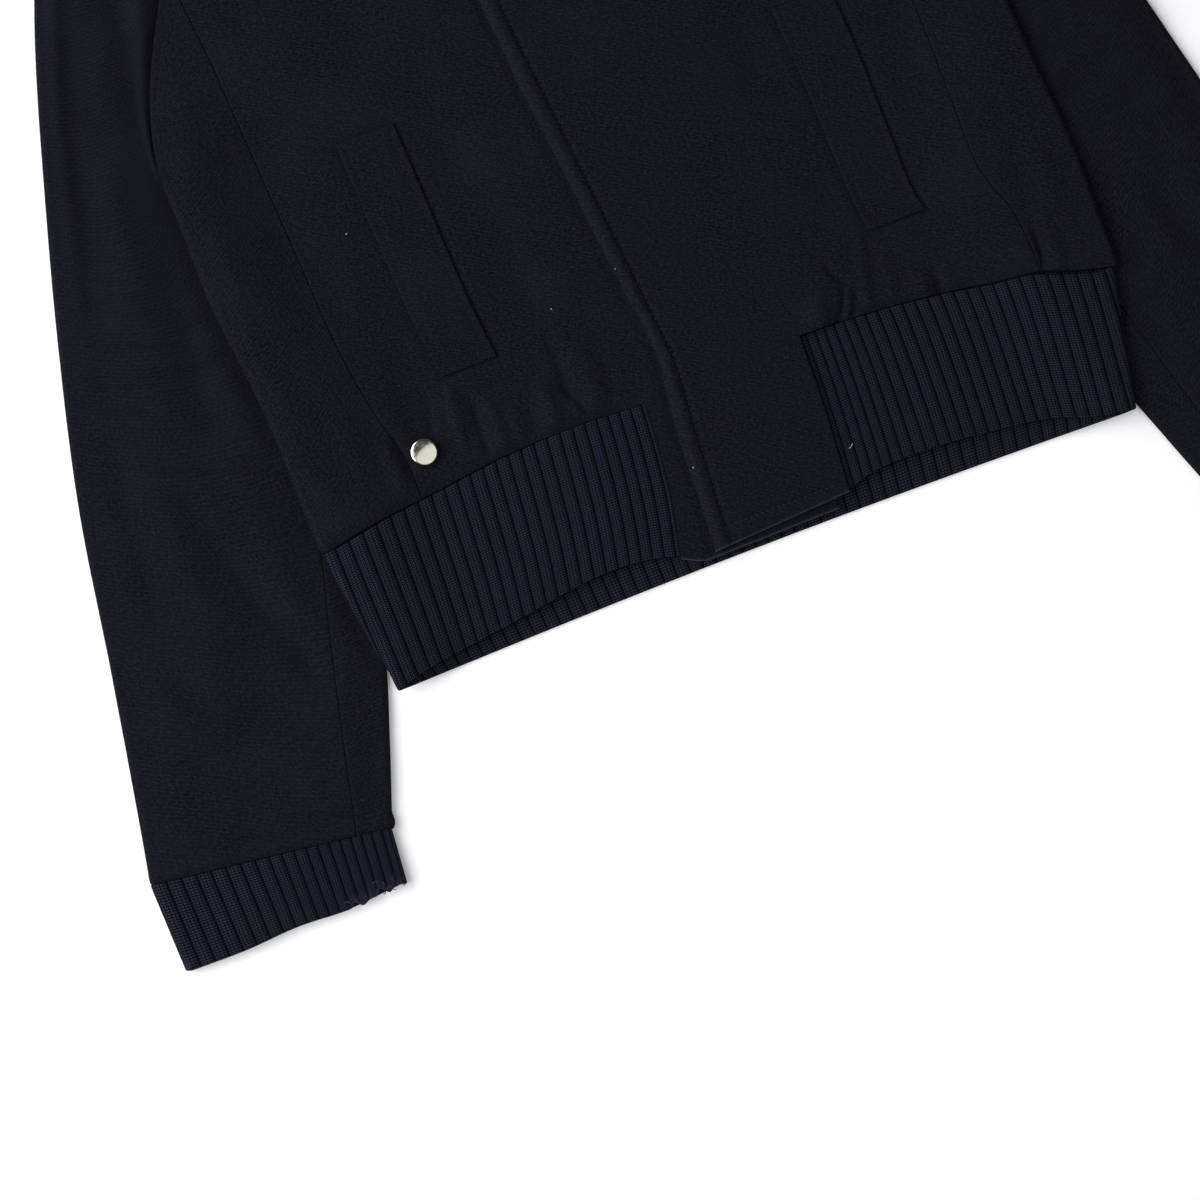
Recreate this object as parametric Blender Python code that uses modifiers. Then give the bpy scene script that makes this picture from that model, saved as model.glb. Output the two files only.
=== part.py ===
"""A hooded wool blouson laid flat on its back, front up.

Every piece of cloth is a sheet of its own thickness. The body, the sleeves, the cuffs and the hood
are flattened tubes: an upper layer lies on a lower one and the cloth turns round at the side folds.
The sleeves lie on the table and the sides of the body lie on their inner parts.

Lengths are in millimetres until the mesh is made. u runs across the jacket, to the wearer's left,
v runs from the hem to the hood, and z is up from the table.
"""

import math

import bpy
from mathutils import Vector

MM = 0.001

# Driving dimensions
CLOTH = 2.0          # wool twill, wall thickness
KNIT = 2.6           # ribbed knit, wall thickness
SEAM = 0.4           # gap between two pieces that are sewn together
LAY = 0.5            # gap below a piece that lies on a panel
FOLD = 5.6           # lower to upper layer of the twill, middle to middle of the wall
KNIT_FOLD = 5.4      # the same for the knit
ARC = (0, 45, 90, 135, 180)      # angles round a side fold, from the upper layer to the lower

UNDERARM_V = 303     # bottom of the armhole
YOKE_V = 412         # where the side seams run into the armhole
NECK_U = 85          # half width of the neck
NECK_V = 605         # height of the neck points
TIP_U, TIP_V = 203, 553          # shoulder tips
FRONT_NECK_DROP = 75
BACK_NECK_DROP = 15
SHOULDER_PRESS = 14  # width of the strip by the shoulder seam where the two layers close up

UNDERLAP_U = 45      # hidden edge of the right front, under the fly
FLY_RISE = CLOTH + 0.6
FLY_EASE = (66, 106)             # where the left front comes down beside the underlap

SLEEVE_UNDER_LIFT = FOLD + CLOTH + 1
LIFT_EASE = (4, 50)              # distance past the sleeve's inner fold where the body comes down

SNAP_AT = (-153, 117)
SNAP_R = 7.6
SNAP_H = 3.2


def columns(names, rows):
    """A table's columns by name."""
    return dict(zip(names.split(), zip(*rows)))


# Edges of the body at each height. fold_* is the outline, which is the armhole above UNDERARM_V.
BODY = columns("v fold_r seam_r seam_l fold_l fly", (
    (0, -213, -160, 188, 213, -27),
    (85, -224, -163, 191, 231, -21),
    (118, -225, -164, 190, 233, -17),
    (150, -225, -171, 181, 233, -20),
    (188, -227, -176, 181, 231, -24),
    (232, -231, -178, 182, 229, -28),
    (280, -231, -180, 181, 231, -33),
    (303, -231, -181, 181, 231, -34),
    (326, -228, -182, 182, 228, -36),
    (352, -220, -183, 183, 220, -36),
    (379, -207, -185, 185, 207, -37),
    (391, -200, -186, 186, 200, -37),
    (405, -193, -188, 188, 193, -38),
    (420, -187, -190, 190, 187, -38),
    (450, -182, -190, 190, 182, -38),
    (480, -183, -190, 190, 183, -38),
    (515, -190, -190, 190, 190, -38),
    (553, -203, -190, 190, 203, -38),
))
# Where the hem band is sewn on
HEM_SEAM = columns("u v", (
    (-224, 85),
    (-189, 91),
    (-153, 95),
    (-116, 99),
    (-70, 100),
    (-32, 98),
    (59, 101),
    (100, 99),
    (143, 94),
    (170, 89),
    (190, 86),
    (210, 79),
    (231, 73),
))
# Front ends of the hem band
RIB_END = columns("v right left", (
    (13, -45, 53),
    (45, -38, 56),
    (75, -34, 58),
    (100, -32, 59),
))
# Lower edge of the hem band, at shares of the way from the side fold to its front end
RIB_EDGE = columns("share right left", (
    (0, 2, -2),
    (0.15, 8, 2),
    (0.3, 11, 10),
    (0.5, 15, 15),
    (0.67, 19, 18),
    (0.8, 20, 19),
    (0.91, 18, 18),
    (1, 14, 14),
))
RIB_BACK_BOW = 3.2   # how far the back of the hem band rises between the side folds
# Right sleeve from the armhole to the cuff seam: the two folds of the flattened tube, the share of
# the width where the seam shows, and how much nearer the left sleeve lies to the body
SLEEVE = columns("outer_u outer_v inner_u inner_v seam outer_nearer inner_nearer", (
    (-207, 555, -224, 298, 0.975, 0, 0),
    (-230, 499, -225, 278, 0.985, 1, 0),
    (-248, 453, -221, 252, 0.98, 3, 0),
    (-271, 393, -211, 212, 0.962, 9, 2),
    (-296, 314, -200, 165, 0.906, 18, 3),
    (-319, 235, -199, 118, 0.907, 26, 4),
    (-339, 155, -205, 76, 0.892, 28, 5),
    (-354, 72, -213, 24, 0.846, 25, 5),
    (-367, 4, -228, -22, 0.85, 20, 5),
    (-377, -46, -244, -66, 0.877, 16, 5),
))
# Drop of the cuff's edge below the cuff seam and its shift towards the body, outer to inner fold
CUFF = columns("share drop shift", (
    (0, 51, 1),
    (0.25, 47, 1),
    (0.5, 41, 0),
    (0.75, 38, -2),
    (1, 31, -3),
))
# Hood, half: outer fold, front edge and centre seam from the neck to the crown
HOOD = columns("fold_u fold_v edge_u edge_v back_v", (
    (86, 603, 22, 531, 590),
    (104, 652, 27, 590, 630),
    (122, 712, 32, 650, 675),
    (128, 780, 34, 710, 720),
    (118, 846, 31, 765, 765),
    (88, 898, 22, 815, 810),
    (45, 925, 10, 850, 845),
    (0, 932, 0, 866, 866),
))

COLOURS = {          # linear colour, roughness, metallic
    "wool_twill": ((0.0105, 0.0105, 0.0155), 0.92, 0.0),
    "rib_knit": ((0.0088, 0.0100, 0.0185), 0.95, 0.0),
    "snap_metal": ((0.62, 0.61, 0.55), 0.22, 1.0),
}


# Small tools

def lerp(a, b, t):
    return a + (b - a) * t


def ease(t):
    t = min(max(t, 0.0), 1.0)
    return t * t * (3 - 2 * t)


def smooth(xs, ys, x):
    """A smooth curve through the points of a table, read at x."""
    last = len(xs) - 1
    i = 0
    while i < last - 1 and x > xs[i + 1]:
        i += 1

    def slope(k):
        low, high = max(k - 1, 0), min(k + 1, last)
        return (ys[high] - ys[low]) / (xs[high] - xs[low])

    width = xs[i + 1] - xs[i]
    t = min(max((x - xs[i]) / width, 0.0), 1.0)
    rise = ys[i + 1] - ys[i]
    a = slope(i) * width - rise
    b = rise - slope(i + 1) * width
    return lerp(ys[i], ys[i + 1], t) + t * (1 - t) * (a * (1 - t) + b * t)


def read(table, name, share):
    """A column of a table with even rows, read at a share of its length."""
    values = table[name]
    return smooth(range(len(values)), values, share * (len(values) - 1))


def body(name, v):
    return smooth(BODY["v"], BODY[name], v)


def spread(start, end, count):
    """count + 1 even steps from start to end."""
    return [lerp(start, end, i / count) for i in range(count + 1)]


# Heights of the layers

def sleeve_edge(side, v):
    """u of the hidden inner fold of a sleeve at the height v."""
    us = [u for u in reversed(SLEEVE["inner_u"])]
    vs = [w for w in reversed(SLEEVE["inner_v"])]
    edge = smooth(vs, us, v)
    near = smooth(vs, [n for n in reversed(SLEEVE["inner_nearer"])], v)
    return edge if side < 0 else -edge - near


def lift(u, v):
    """How much the body is raised where it lies on a sleeve."""
    side = -1 if u < 0 else 1
    inside = abs(sleeve_edge(side, v)) - abs(u)
    low, high = LIFT_EASE
    across = 1 - ease((inside - low) / (high - low))
    armhole = 1 - ease((v - UNDERARM_V) / 45)
    return SLEEVE_UNDER_LIFT * across * armhole


def lower_z(u, v):
    return CLOTH / 2 + lift(u, v)


def top_edge(u, drop):
    """Top edge of a panel at u: the neckline, and outside it the shoulder seam."""
    u = abs(u)
    if u < NECK_U:
        return NECK_V - drop * (1 - (u / NECK_U) ** 2.2)
    return lerp(NECK_V, TIP_V, (u - NECK_U) / (TIP_U - NECK_U))


def front_top(u):
    return top_edge(u, FRONT_NECK_DROP)


def underlap_top(u):
    """The right front's top edge, which stays level under the fly."""
    return front_top(min(u, 0))


def back_top(u):
    return top_edge(u, BACK_NECK_DROP)


def upper_z(u, v):
    """Middle of the wall of the upper layer, closed up along the shoulder seam."""
    near = ease(1 - (front_top(u) - v) / SHOULDER_PRESS) if abs(u) >= NECK_U - 1 else 0
    return lower_z(u, v) + lerp(FOLD, CLOTH + LAY, near)


def fly_z(u, v):
    """Upper layer of the left front, which lies on the underlap."""
    low, high = FLY_EASE
    return upper_z(u, v) + FLY_RISE * (1 - ease((u - low) / (high - low)))


# Making a piece

parts = bpy.data.collections.new("hooded_jacket")


def material(name):
    made = bpy.data.materials.get(name)
    if made:
        return made
    colour, roughness, metallic = COLOURS[name]
    made = bpy.data.materials.new(name)
    made.use_nodes = True
    shader = made.node_tree.nodes["Principled BSDF"]
    shader.inputs["Base Color"].default_value = (*colour, 1)
    shader.inputs["Roughness"].default_value = roughness
    shader.inputs["Metallic"].default_value = metallic
    made.diffuse_color = (*colour, 1)
    return made


def add_object(name, mesh, finish):
    mesh.materials.append(material(finish))
    piece = bpy.data.objects.new(name, mesh)
    parts.objects.link(piece)
    return piece


def sheet(name, rows, wall=CLOTH, finish="wool_twill", closed=False):
    """A wall of cloth on rows of points. A point that is None leaves a notch."""
    index = {}
    points = []
    for j, row in enumerate(rows):
        for i, point in enumerate(row):
            if point is not None:
                index[j, i] = len(points)
                points.append(Vector(point) * MM)
    faces = []
    width = len(rows[0])
    for j in range(len(rows) - 1):
        for i in range(width if closed else width - 1):
            k = (i + 1) % width
            corners = [(j, i), (j, k), (j + 1, k), (j + 1, i)]
            if all(corner in index for corner in corners):
                faces.append([index[corner] for corner in corners])
    mesh = bpy.data.meshes.new(name)
    mesh.from_pydata(points, [], faces)
    mesh.update()
    mesh.shade_smooth()
    piece = add_object(name, mesh, finish)
    solidify = piece.modifiers.new("wall", "SOLIDIFY")
    solidify.thickness = wall * MM
    solidify.offset = 0
    return piece


# Body panels. Rows run up from the hem seam; above YOKE_V they bend to the shoulder and the neck.

SEAM_ROW_V = 92      # height at which the edges are read for the row along the hem seam
ROWS = (None, 120, 140, 151, 190, 230, 271, 289, UNDERARM_V, 326, 352, 379, 403)
TOP_ROWS = (0.1, 0.3, 0.52, 0.74, 0.92, 1)
TAB_ROWS = (1, 0.66, 0.33)
RIGHT_COLUMNS = (0, 0.05, 0.193, 0.342, 0.47, 0.63, 0.8, 1)
LEFT_COLUMNS = (0, 0.12, 0.24, 0.365, 0.517, 0.66, 0.82, 0.91, 1)
BACK_COLUMNS = (0, 0.04, 0.1, 0.18, 0.29, 0.395, 0.5, 0.605, 0.71, 0.82, 0.9, 0.96, 1)
RIB_COLUMN = {"r": 5, "l": 3}
WELT = {"r": {"columns": (2, 3), "rows": (151, 289)}, "l": {"columns": (5, 6), "rows": (140, 271)}}
REACH = (FOLD + CLOTH) / 2       # from a side fold's outline to where its arc starts


def row_v(row, u):
    return smooth(HEM_SEAM["u"], HEM_SEAM["v"], u) if row is None else row


def side_seam(side):
    """The side seam, and above it the armhole, as u at a height. Half a seam gap is left free."""
    sign = -1 if side == "r" else 1

    def edge(v):
        name = "seam_" if v <= YOKE_V else "fold_"
        return body(name + side, v) - sign * SEAM / 2
    return edge


def panel(columns, start, end, top, height):
    """Rows of a front or of the back, between two edges, from the hem seam to the shoulder."""
    rows = []
    for row in ROWS:
        v = SEAM_ROW_V if row is None else row
        across = [lerp(start(v), end(v), a) for a in columns]
        rows.append([(u, row_v(row, u)) for u in across])
    for share in TOP_ROWS:
        v = lerp(YOKE_V, TIP_V, share)
        across = [lerp(start(v), end(v), a) for a in columns]
        rows.append([(u, lerp(YOKE_V, top(u), share)) for u in across])
    return [[(u, v, height(u, v)) for u, v in row] for row in rows]


def tab(rows, columns, first, last, start, end, bottom, height):
    """Rows of the part of a front that runs down to the hem, beside the end of the hem band."""
    low_rows = []
    for share in TAB_ROWS:
        row = [None] * len(columns)
        for i in range(first, last + 1):
            u, v, _ = rows[0][i]
            v = lerp(v, bottom(u), share)
            u = lerp(start(v), end(v), (columns[i] - columns[first]) / (columns[last] - columns[first]))
            row[i] = (u, v, height(u, v))
        low_rows.append(row)
    return low_rows


def fly_edge(v):
    return body("fly", v)


def underlap_edge(v):
    return UNDERLAP_U


def rib_end(side):
    name = "right" if side == "r" else "left"
    return lambda v: smooth(RIB_END["v"], RIB_END[name], v)


def front_right():
    rows = panel(RIGHT_COLUMNS, side_seam("r"), underlap_edge, underlap_top, upper_z)
    low = tab(rows, RIGHT_COLUMNS, RIB_COLUMN["r"], len(RIGHT_COLUMNS) - 1, rib_end("r"), underlap_edge,
              lambda u: lerp(6.5, 15, ease((-20 - u) / 20)), upper_z)
    return rows, low


def front_left():
    rows = panel(LEFT_COLUMNS, fly_edge, side_seam("l"), front_top, fly_z)
    low = tab(rows, LEFT_COLUMNS, 0, RIB_COLUMN["l"], fly_edge, rib_end("l"),
              lambda u: lerp(9, 12.7, (u + 26) / 78), fly_z)
    return rows, low


SIDE_TIP_V = 409     # where a side panel runs out between its seam and the armhole


def side_panel(side):
    """From the front side seam round the fold to the back side seam. Above the underarm the armhole
    parts it in two. A stop is u, share of the height between the layers and how far out on the arc."""
    sign = -1 if side == "r" else 1
    seam = side_seam(side)
    rows = []
    for row in list(ROWS) + [SIDE_TIP_V]:
        v = SEAM_ROW_V if row is None else row
        open_here = v > UNDERARM_V
        first = seam(v) + sign * SEAM
        last = body("fold_" + side, v) - sign * (SEAM / 2 if open_here else REACH)
        leg = [lerp(first, last, i / 3) for i in range(3)]
        line = [(u, 1, 0) for u in leg]
        for angle in ARC:
            turn = math.radians(angle)
            point = (last, (1 + math.cos(turn)) / 2, math.sin(turn))
            line.append(None if open_here and 0 < angle < 180 else point)
        line += [(u, 0, 0) for u in reversed(leg)]
        rows.append([raised(point, row, sign) for point in line])
    return rows


def raised(stop, row, sign):
    """The point of a side panel's stop in one row."""
    if stop is None:
        return None
    u, high, out = stop
    v = row_v(row, u)
    return (u + sign * out * FOLD / 2, v, lerp(lower_z(u, v), upper_z(u, v), high))


def welt(rows, side):
    """A pocket welt: the front's own points between four of its lines, moved out."""
    first, last = WELT[side]["columns"]
    low, high = WELT[side]["rows"]
    chosen = [line for row, line in zip(ROWS, rows) if row is not None and low <= row <= high]
    return [[(u, v, z + CLOTH + LAY) for u, v, z in line[first:last + 1]] for line in chosen]


# Hem band: one knit strip from one front end round the back to the other, hung on the panels' edges

RIB_ROWS = (0, 0.33, 0.67, 1)
RIB_DROP = SEAM * 1.5
RIB_REACH = (KNIT_FOLD + KNIT) / 2


def rib_fold(side, v):
    return body("fold_" + side, v) - (-1 if side == "r" else 1) * RIB_REACH


def rib_point(stop, share):
    """A point of the band, at a share of its height below the panel point that it hangs on."""
    layer, f, high, out, top_v = stop
    bow = RIB_BACK_BOW * math.sin(math.pi * f)
    if layer == "back":
        bottom = lerp(RIB_EDGE["right"][0], RIB_EDGE["left"][0], f) + bow
    else:
        bottom = smooth(RIB_EDGE["share"], RIB_EDGE["right" if layer == "r" else "left"], f)
    v = lerp(top_v - RIB_DROP, bottom, share)
    if layer == "back":
        u = lerp(rib_fold("r", v), rib_fold("l", v), f)
        sign = 0
    else:
        sign = -1 if layer == "r" else 1
        u = lerp(rib_fold(layer, v), rib_end(layer)(v) + sign * SEAM, f)
    z = KNIT / 2 + lift(u, v) + KNIT_FOLD * high
    return (u + sign * out * KNIT_FOLD / 2, v, z)


def hem_rib(right, left, back):
    stops = []
    for side, rows in (("r", right), ("l", left)):
        first = RIB_COLUMN[side]
        edge = rows[0][:first + 1] if side == "r" else rows[0][first:][::-1]
        start = rib_fold(side, SEAM_ROW_V)
        length = edge[-1][0] - start
        half = [(side, (u - start) / length, 1, 0, v) for u, v, _ in reversed(edge)]
        side_leg = [lerp(edge[0][0], start, i / 3) for i in (1, 2)]
        half += [(side, (u - start) / length, 1, 0, row_v(None, u)) for u in side_leg]
        for angle in ARC:
            turn = math.radians(angle)
            half.append((side, 0, (1 + math.cos(turn)) / 2, math.sin(turn), row_v(None, start)))
        stops.append(half)
    low, high = rib_fold("r", SEAM_ROW_V), rib_fold("l", SEAM_ROW_V)
    seams = [back[0][0], back[0][-1]]
    legs = [lerp(low, seams[0][0], i / 3) for i in (1, 2)]
    legs += [u for u, v, z in back[0]]
    legs += [lerp(seams[1][0], high, i / 3) for i in (1, 2)]
    under = [("back", (u - low) / (high - low), 0, 0, row_v(None, u)) for u in legs]
    strip = stops[0] + under + stops[1][::-1]
    return [[rib_point(stop, share) for stop in strip] for share in RIB_ROWS]


# Sleeves and cuffs: rings round a flattened tube

SLEEVE_STEPS = 9
SLEEVE_SWING = 130   # how far the sleeve's cloth swings out below the armhole
ARMHOLE_STOPS = [TIP_V + SEAM] + [lerp(YOKE_V, TIP_V, s) for s in reversed(TOP_ROWS[:-1])]
ARMHOLE_STOPS += [row for row in reversed(ROWS) if row is not None and row >= UNDERARM_V]
ARMHOLE_STOPS += [UNDERARM_V - 7]
SHARES = [(ARMHOLE_STOPS[0] - v) / (ARMHOLE_STOPS[0] - ARMHOLE_STOPS[-1]) for v in ARMHOLE_STOPS]
SEAM_STOP = 10       # the column of the seam that shows, near the inner fold
BACK_STOP = 3        # the column of the hidden seam, near the outer fold


def fold_line(side, name, b):
    """Outline of a sleeve's fold, at a share of its length from the armhole."""
    u = read(SLEEVE, name + "_u", b)
    v = read(SLEEVE, name + "_v", b)
    if side == "l":
        u = -u - read(SLEEVE, name + "_nearer", b)
    return Vector((u, v))


def outward(side, name, b):
    """Unit vector across a fold, away from the sleeve."""
    step = 0.02
    run = fold_line(side, name, min(b + step, 1)) - fold_line(side, name, max(b - step, 0))
    across = Vector((run.y, -run.x)).normalized()
    return across if (side == "r") == (name == "outer") else -across


def fold_base(side, name, b):
    return fold_line(side, name, b) - outward(side, name, b) * REACH


def armhole(side, a):
    """The cut edge of the body, moved out. Above the yoke the rows of the panels are bent."""
    sign = -1 if side == "r" else 1
    v = row = lerp(ARMHOLE_STOPS[0], ARMHOLE_STOPS[-1], a)
    for _ in range(4 if v > YOKE_V else 0):
        top = front_top(body("fold_" + side, row))
        row = YOKE_V + (v - YOKE_V) * (TIP_V - YOKE_V) / (top - YOKE_V)
    return Vector((body("fold_" + side, row) + sign * SEAM * 1.5, v))


def sleeve_plan(side, a, b):
    """A point of the sleeve seen from above, between the armhole, the two folds and the cuff seam."""
    corners = [fold_base(side, name, end) for end in (0, 1) for name in ("outer", "inner")]
    along = fold_base(side, "outer", b).lerp(fold_base(side, "inner", b), a)
    curve = armhole(side, a) - corners[0].lerp(corners[1], a)
    swing = SLEEVE_SWING * b * (1 - b) ** 2 * math.sin(math.pi * a)
    return along + curve * (1 - b) ** 5 + Vector((-swing if side == "r" else swing, 0))


def column(i, b, gap=0):
    """Share of the width at a column, with the columns drawn to the line of the sleeve's seam."""
    seam, plain = read(SLEEVE, "seam", b), SHARES[SEAM_STOP]
    seam = lerp(plain, seam, min(b * 4, 1))
    a = SHARES[i]
    drawn = a * seam / plain if a <= plain else 1 - (1 - a) * (1 - seam) / (1 - plain)
    return drawn + gap


def ring(side, b):
    """Points round the sleeve at b: the columns of its two layers and the angles of its two folds."""
    stops = {}
    for i in range(len(SHARES)):
        for layer, high in (("upper", 1), ("lower", 0)):
            point = sleeve_plan(side, column(i, b), b)
            stops[layer, i] = (point.x, point.y, CLOTH / 2 + FOLD * high)
    for name, a in (("outer", 0), ("inner", 1)):
        base = sleeve_plan(side, a, b)
        for angle in ARC[1:-1]:
            turn = math.radians(angle)
            point = base + outward(side, name, b) * math.sin(turn) * FOLD / 2
            stops[name, angle] = (point.x, point.y, CLOTH / 2 + FOLD * (1 + math.cos(turn)) / 2)
    return stops


def nudged(side, stops, layer, i, b, gap):
    """A seam point, moved along its row by half the seam gap."""
    point = sleeve_plan(side, column(i, b, gap), b)
    return (point.x, point.y, stops[layer, i][2])


def sleeve_rows(side):
    """Rows of the top sleeve, rows of the under sleeve and the last ring."""
    top, under = [], []
    last = len(SHARES) - 1
    for step in range(SLEEVE_STEPS + 1):
        b = step / SLEEVE_STEPS
        stops = ring(side, b)
        gap = SEAM / 2 / (sleeve_plan(side, 1, b) - sleeve_plan(side, 0, b)).length * 1.3
        line = [nudged(side, stops, "lower", BACK_STOP, b, -gap)]
        line += [stops["lower", i] for i in range(BACK_STOP - 1, -1, -1)]
        line += [stops["outer", angle] for angle in reversed(ARC[1:-1])]
        line += [stops["upper", i] for i in range(SEAM_STOP)]
        line += [nudged(side, stops, "upper", SEAM_STOP, b, -gap)]
        top.append(line)
        line = [nudged(side, stops, "upper", SEAM_STOP, b, gap)]
        line += [stops["upper", i] for i in range(SEAM_STOP + 1, last + 1)]
        line += [stops["inner", angle] for angle in ARC[1:-1]]
        line += [stops["lower", i] for i in range(last, BACK_STOP, -1)]
        line += [nudged(side, stops, "lower", BACK_STOP, b, gap)]
        under.append(line)
    return top, under


def cuff(side):
    """A knit tube hung on the end of the sleeve, longer by the outer fold than by the inner."""
    sign = 1 if side == "r" else -1
    stops = ring(side, 1)
    last = len(SHARES) - 1
    order = [("upper", i, column(i, 1)) for i in range(last + 1)]
    order += [("inner", angle, 1) for angle in ARC[1:-1]]
    order += [("lower", i, column(i, 1)) for i in range(last, -1, -1)]
    order += [("outer", angle, 0) for angle in reversed(ARC[1:-1])]
    rows = []
    for share in (0, 0.5, 1):
        line = []
        for layer, stop, a in order:
            u, v, z = stops[layer, stop]
            high = (z - CLOTH / 2) / FOLD
            u += sign * share * smooth(CUFF["share"], CUFF["shift"], a)
            v -= RIB_DROP + share * smooth(CUFF["share"], CUFF["drop"], a)
            line.append((u, v, KNIT / 2 + KNIT_FOLD * high))
        rows.append(line)
    return rows


# Hood: each half goes from its front edge round the fold to the centre seam at the back

HOOD_STEPS = 9
HOOD_COLUMNS = 4


def hood_fold(s):
    """Where the arc of the hood's fold starts, and the unit vector across the fold."""
    def outline(t):
        return Vector((-read(HOOD, "fold_u", t), read(HOOD, "fold_v", t)))
    run = outline(min(s + 0.02, 1)) - outline(max(s - 0.02, 0))
    across = Vector((-run.y, run.x)).normalized() if s < 1 else Vector((0, 1))
    return outline(s) - across * REACH, across


def neck_seam(u, edge):
    """The neck seam: just above the upper edge of the panel that it is sewn to."""
    points = sorted((p[0], p[1]) for p in edge)
    for (u0, v0), (u1, v1) in zip(points, points[1:]):
        if u0 <= u <= u1:
            panel_v = lerp(v0, v1, (u - u0) / (u1 - u0))
    return Vector((u, panel_v + RIB_DROP))


def hood_layer(s, a, edge, upper):
    """A point of one layer: a is 0 at the fold and 1 at the front edge or the centre seam."""
    def inner(t):
        v = read(HOOD, "edge_v" if upper else "back_v", t)
        u = -read(HOOD, "edge_u", t) if upper else 0
        return Vector((min(u, -SEAM / 2), v))
    start = hood_fold(0)[0]
    fold = hood_fold(s)[0]
    fold.x = min(fold.x, -SEAM / 2)
    low = neck_seam(lerp(start.x, inner(0).x, a), edge)
    return fold.lerp(inner(s), a) + (low - start.lerp(inner(0), a)) * (1 - s) ** 2


def hood(side, front, back):
    """Half of the hood. The left half is the right one mirrored, on the left front's edge."""
    sign = 1 if side == "r" else -1
    front_edge = [(u * sign, v) for u, v, _ in front[-1]]
    back_edge = [(u * sign, v) for u, v, _ in back[-1]]
    rows, lift = [], {}
    for step in range(HOOD_STEPS + 1):
        s = step / HOOD_STEPS
        line = []
        for i in range(HOOD_COLUMNS, -1, -1):
            point = hood_layer(s, i / HOOD_COLUMNS, front_edge, True)
            line.append((point.x, point.y, CLOTH / 2 + FOLD))
        across = hood_fold(s)[1]
        over, under = hood_layer(s, 0, front_edge, True), hood_layer(s, 0, back_edge, False)
        for angle in ARC[1:-1]:
            turn = math.radians(angle)
            high = (1 + math.cos(turn)) / 2
            point = under.lerp(over, high) + across * math.sin(turn) * FOLD / 2
            if step == 0:
                seam = neck_seam(point.x, back_edge).lerp(neck_seam(point.x, front_edge), high)
                lift[angle] = seam.y + LAY - point.y
            point.y += lift[angle] * (1 - s) ** 8
            line.append((point.x, point.y, CLOTH / 2 + FOLD * high))
        for i in range(HOOD_COLUMNS + 1):
            point = hood_layer(s, i / HOOD_COLUMNS, back_edge, False)
            line.append((point.x, point.y, CLOTH / 2))
        rows.append([(sign * u, v, z) for u, v, z in line])
    return rows


def snap_cap():
    """Domed cap of the press stud, turned from its profile."""
    profile = ((0, 1), (0.45, 0.94), (0.75, 0.76), (0.93, 0.5), (1, 0.25), (0.97, 0), (0, 0))
    mesh = bpy.data.meshes.new("snap_cap")
    points = [(SNAP_R * r * MM, 0, SNAP_H * h * MM) for r, h in profile]
    mesh.from_pydata(points, [(i, i + 1) for i in range(len(points) - 1)], [])
    piece = add_object("snap_cap", mesh, "snap_metal")
    turn = piece.modifiers.new("turn", "SCREW")
    turn.steps = turn.render_steps = 24
    turn.use_merge_vertices = True
    turn.merge_threshold = 0.00001
    u, v = SNAP_AT
    under_rim = max(upper_z(u - SNAP_R, v), upper_z(u + SNAP_R, v))
    piece.location = Vector((u, v, under_rim + CLOTH / 2 + LAY)) * MM
    return piece


# The jacket

def clear_scene():
    for old in list(bpy.data.objects):
        bpy.data.objects.remove(old, do_unlink=True)


def to_origin():
    """Move the jacket so that the middle of its underside is at the origin."""
    bpy.context.view_layer.update()
    graph = bpy.context.evaluated_depsgraph_get()
    corners = []
    for piece in parts.objects:
        whole = piece.evaluated_get(graph)
        corners += [whole.matrix_world @ vertex.co for vertex in whole.data.vertices]
    low = Vector([min(corner[i] for corner in corners) for i in range(3)])
    high = Vector([max(corner[i] for corner in corners) for i in range(3)])
    move = Vector((-(low.x + high.x) / 2, -(low.y + high.y) / 2, -low.z))
    for piece in parts.objects:
        piece.location += move


def main():
    clear_scene()
    bpy.context.scene.collection.children.link(parts)
    right, right_tab = front_right()
    left, left_tab = front_left()
    back = panel(BACK_COLUMNS, side_seam("r"), side_seam("l"), back_top, lower_z)
    sheet("front_right", right_tab + right)
    sheet("front_left", left_tab + left)
    sheet("back", back)
    sheet("hem_rib", hem_rib(right, left, back), KNIT, "rib_knit")
    for side, word, front in (("r", "right", right), ("l", "left", left)):
        sheet("side_" + word, side_panel(side))
        sheet("welt_" + word, welt(front, side))
        top, under = sleeve_rows(side)
        sheet("sleeve_top_" + word, top)
        sheet("sleeve_under_" + word, under)
        sheet("cuff_" + word, cuff(side), KNIT, "rib_knit", closed=True)
        sheet("hood_" + word, hood(side, front, back))
    snap_cap()
    to_origin()


main()
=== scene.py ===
"""Cloth, knit and metal of a hooded wool blouson laid flat on its back, front up.

Every piece of cloth is a thin shell on the form of its solid: a grid of points on the middle of the
wall, given its thickness on both sides and rounded at its edges. Lengths are in millimetres until the
mesh is made. u runs across the jacket, to the wearer's left, v runs from the hem to the hood, and z is
up from the table. The main creases are given one by one, as rows of the tables named FOLDS.
"""

import math

import bpy
import numpy as np
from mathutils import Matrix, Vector, noise
from mathutils.kdtree import KDTree


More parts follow.
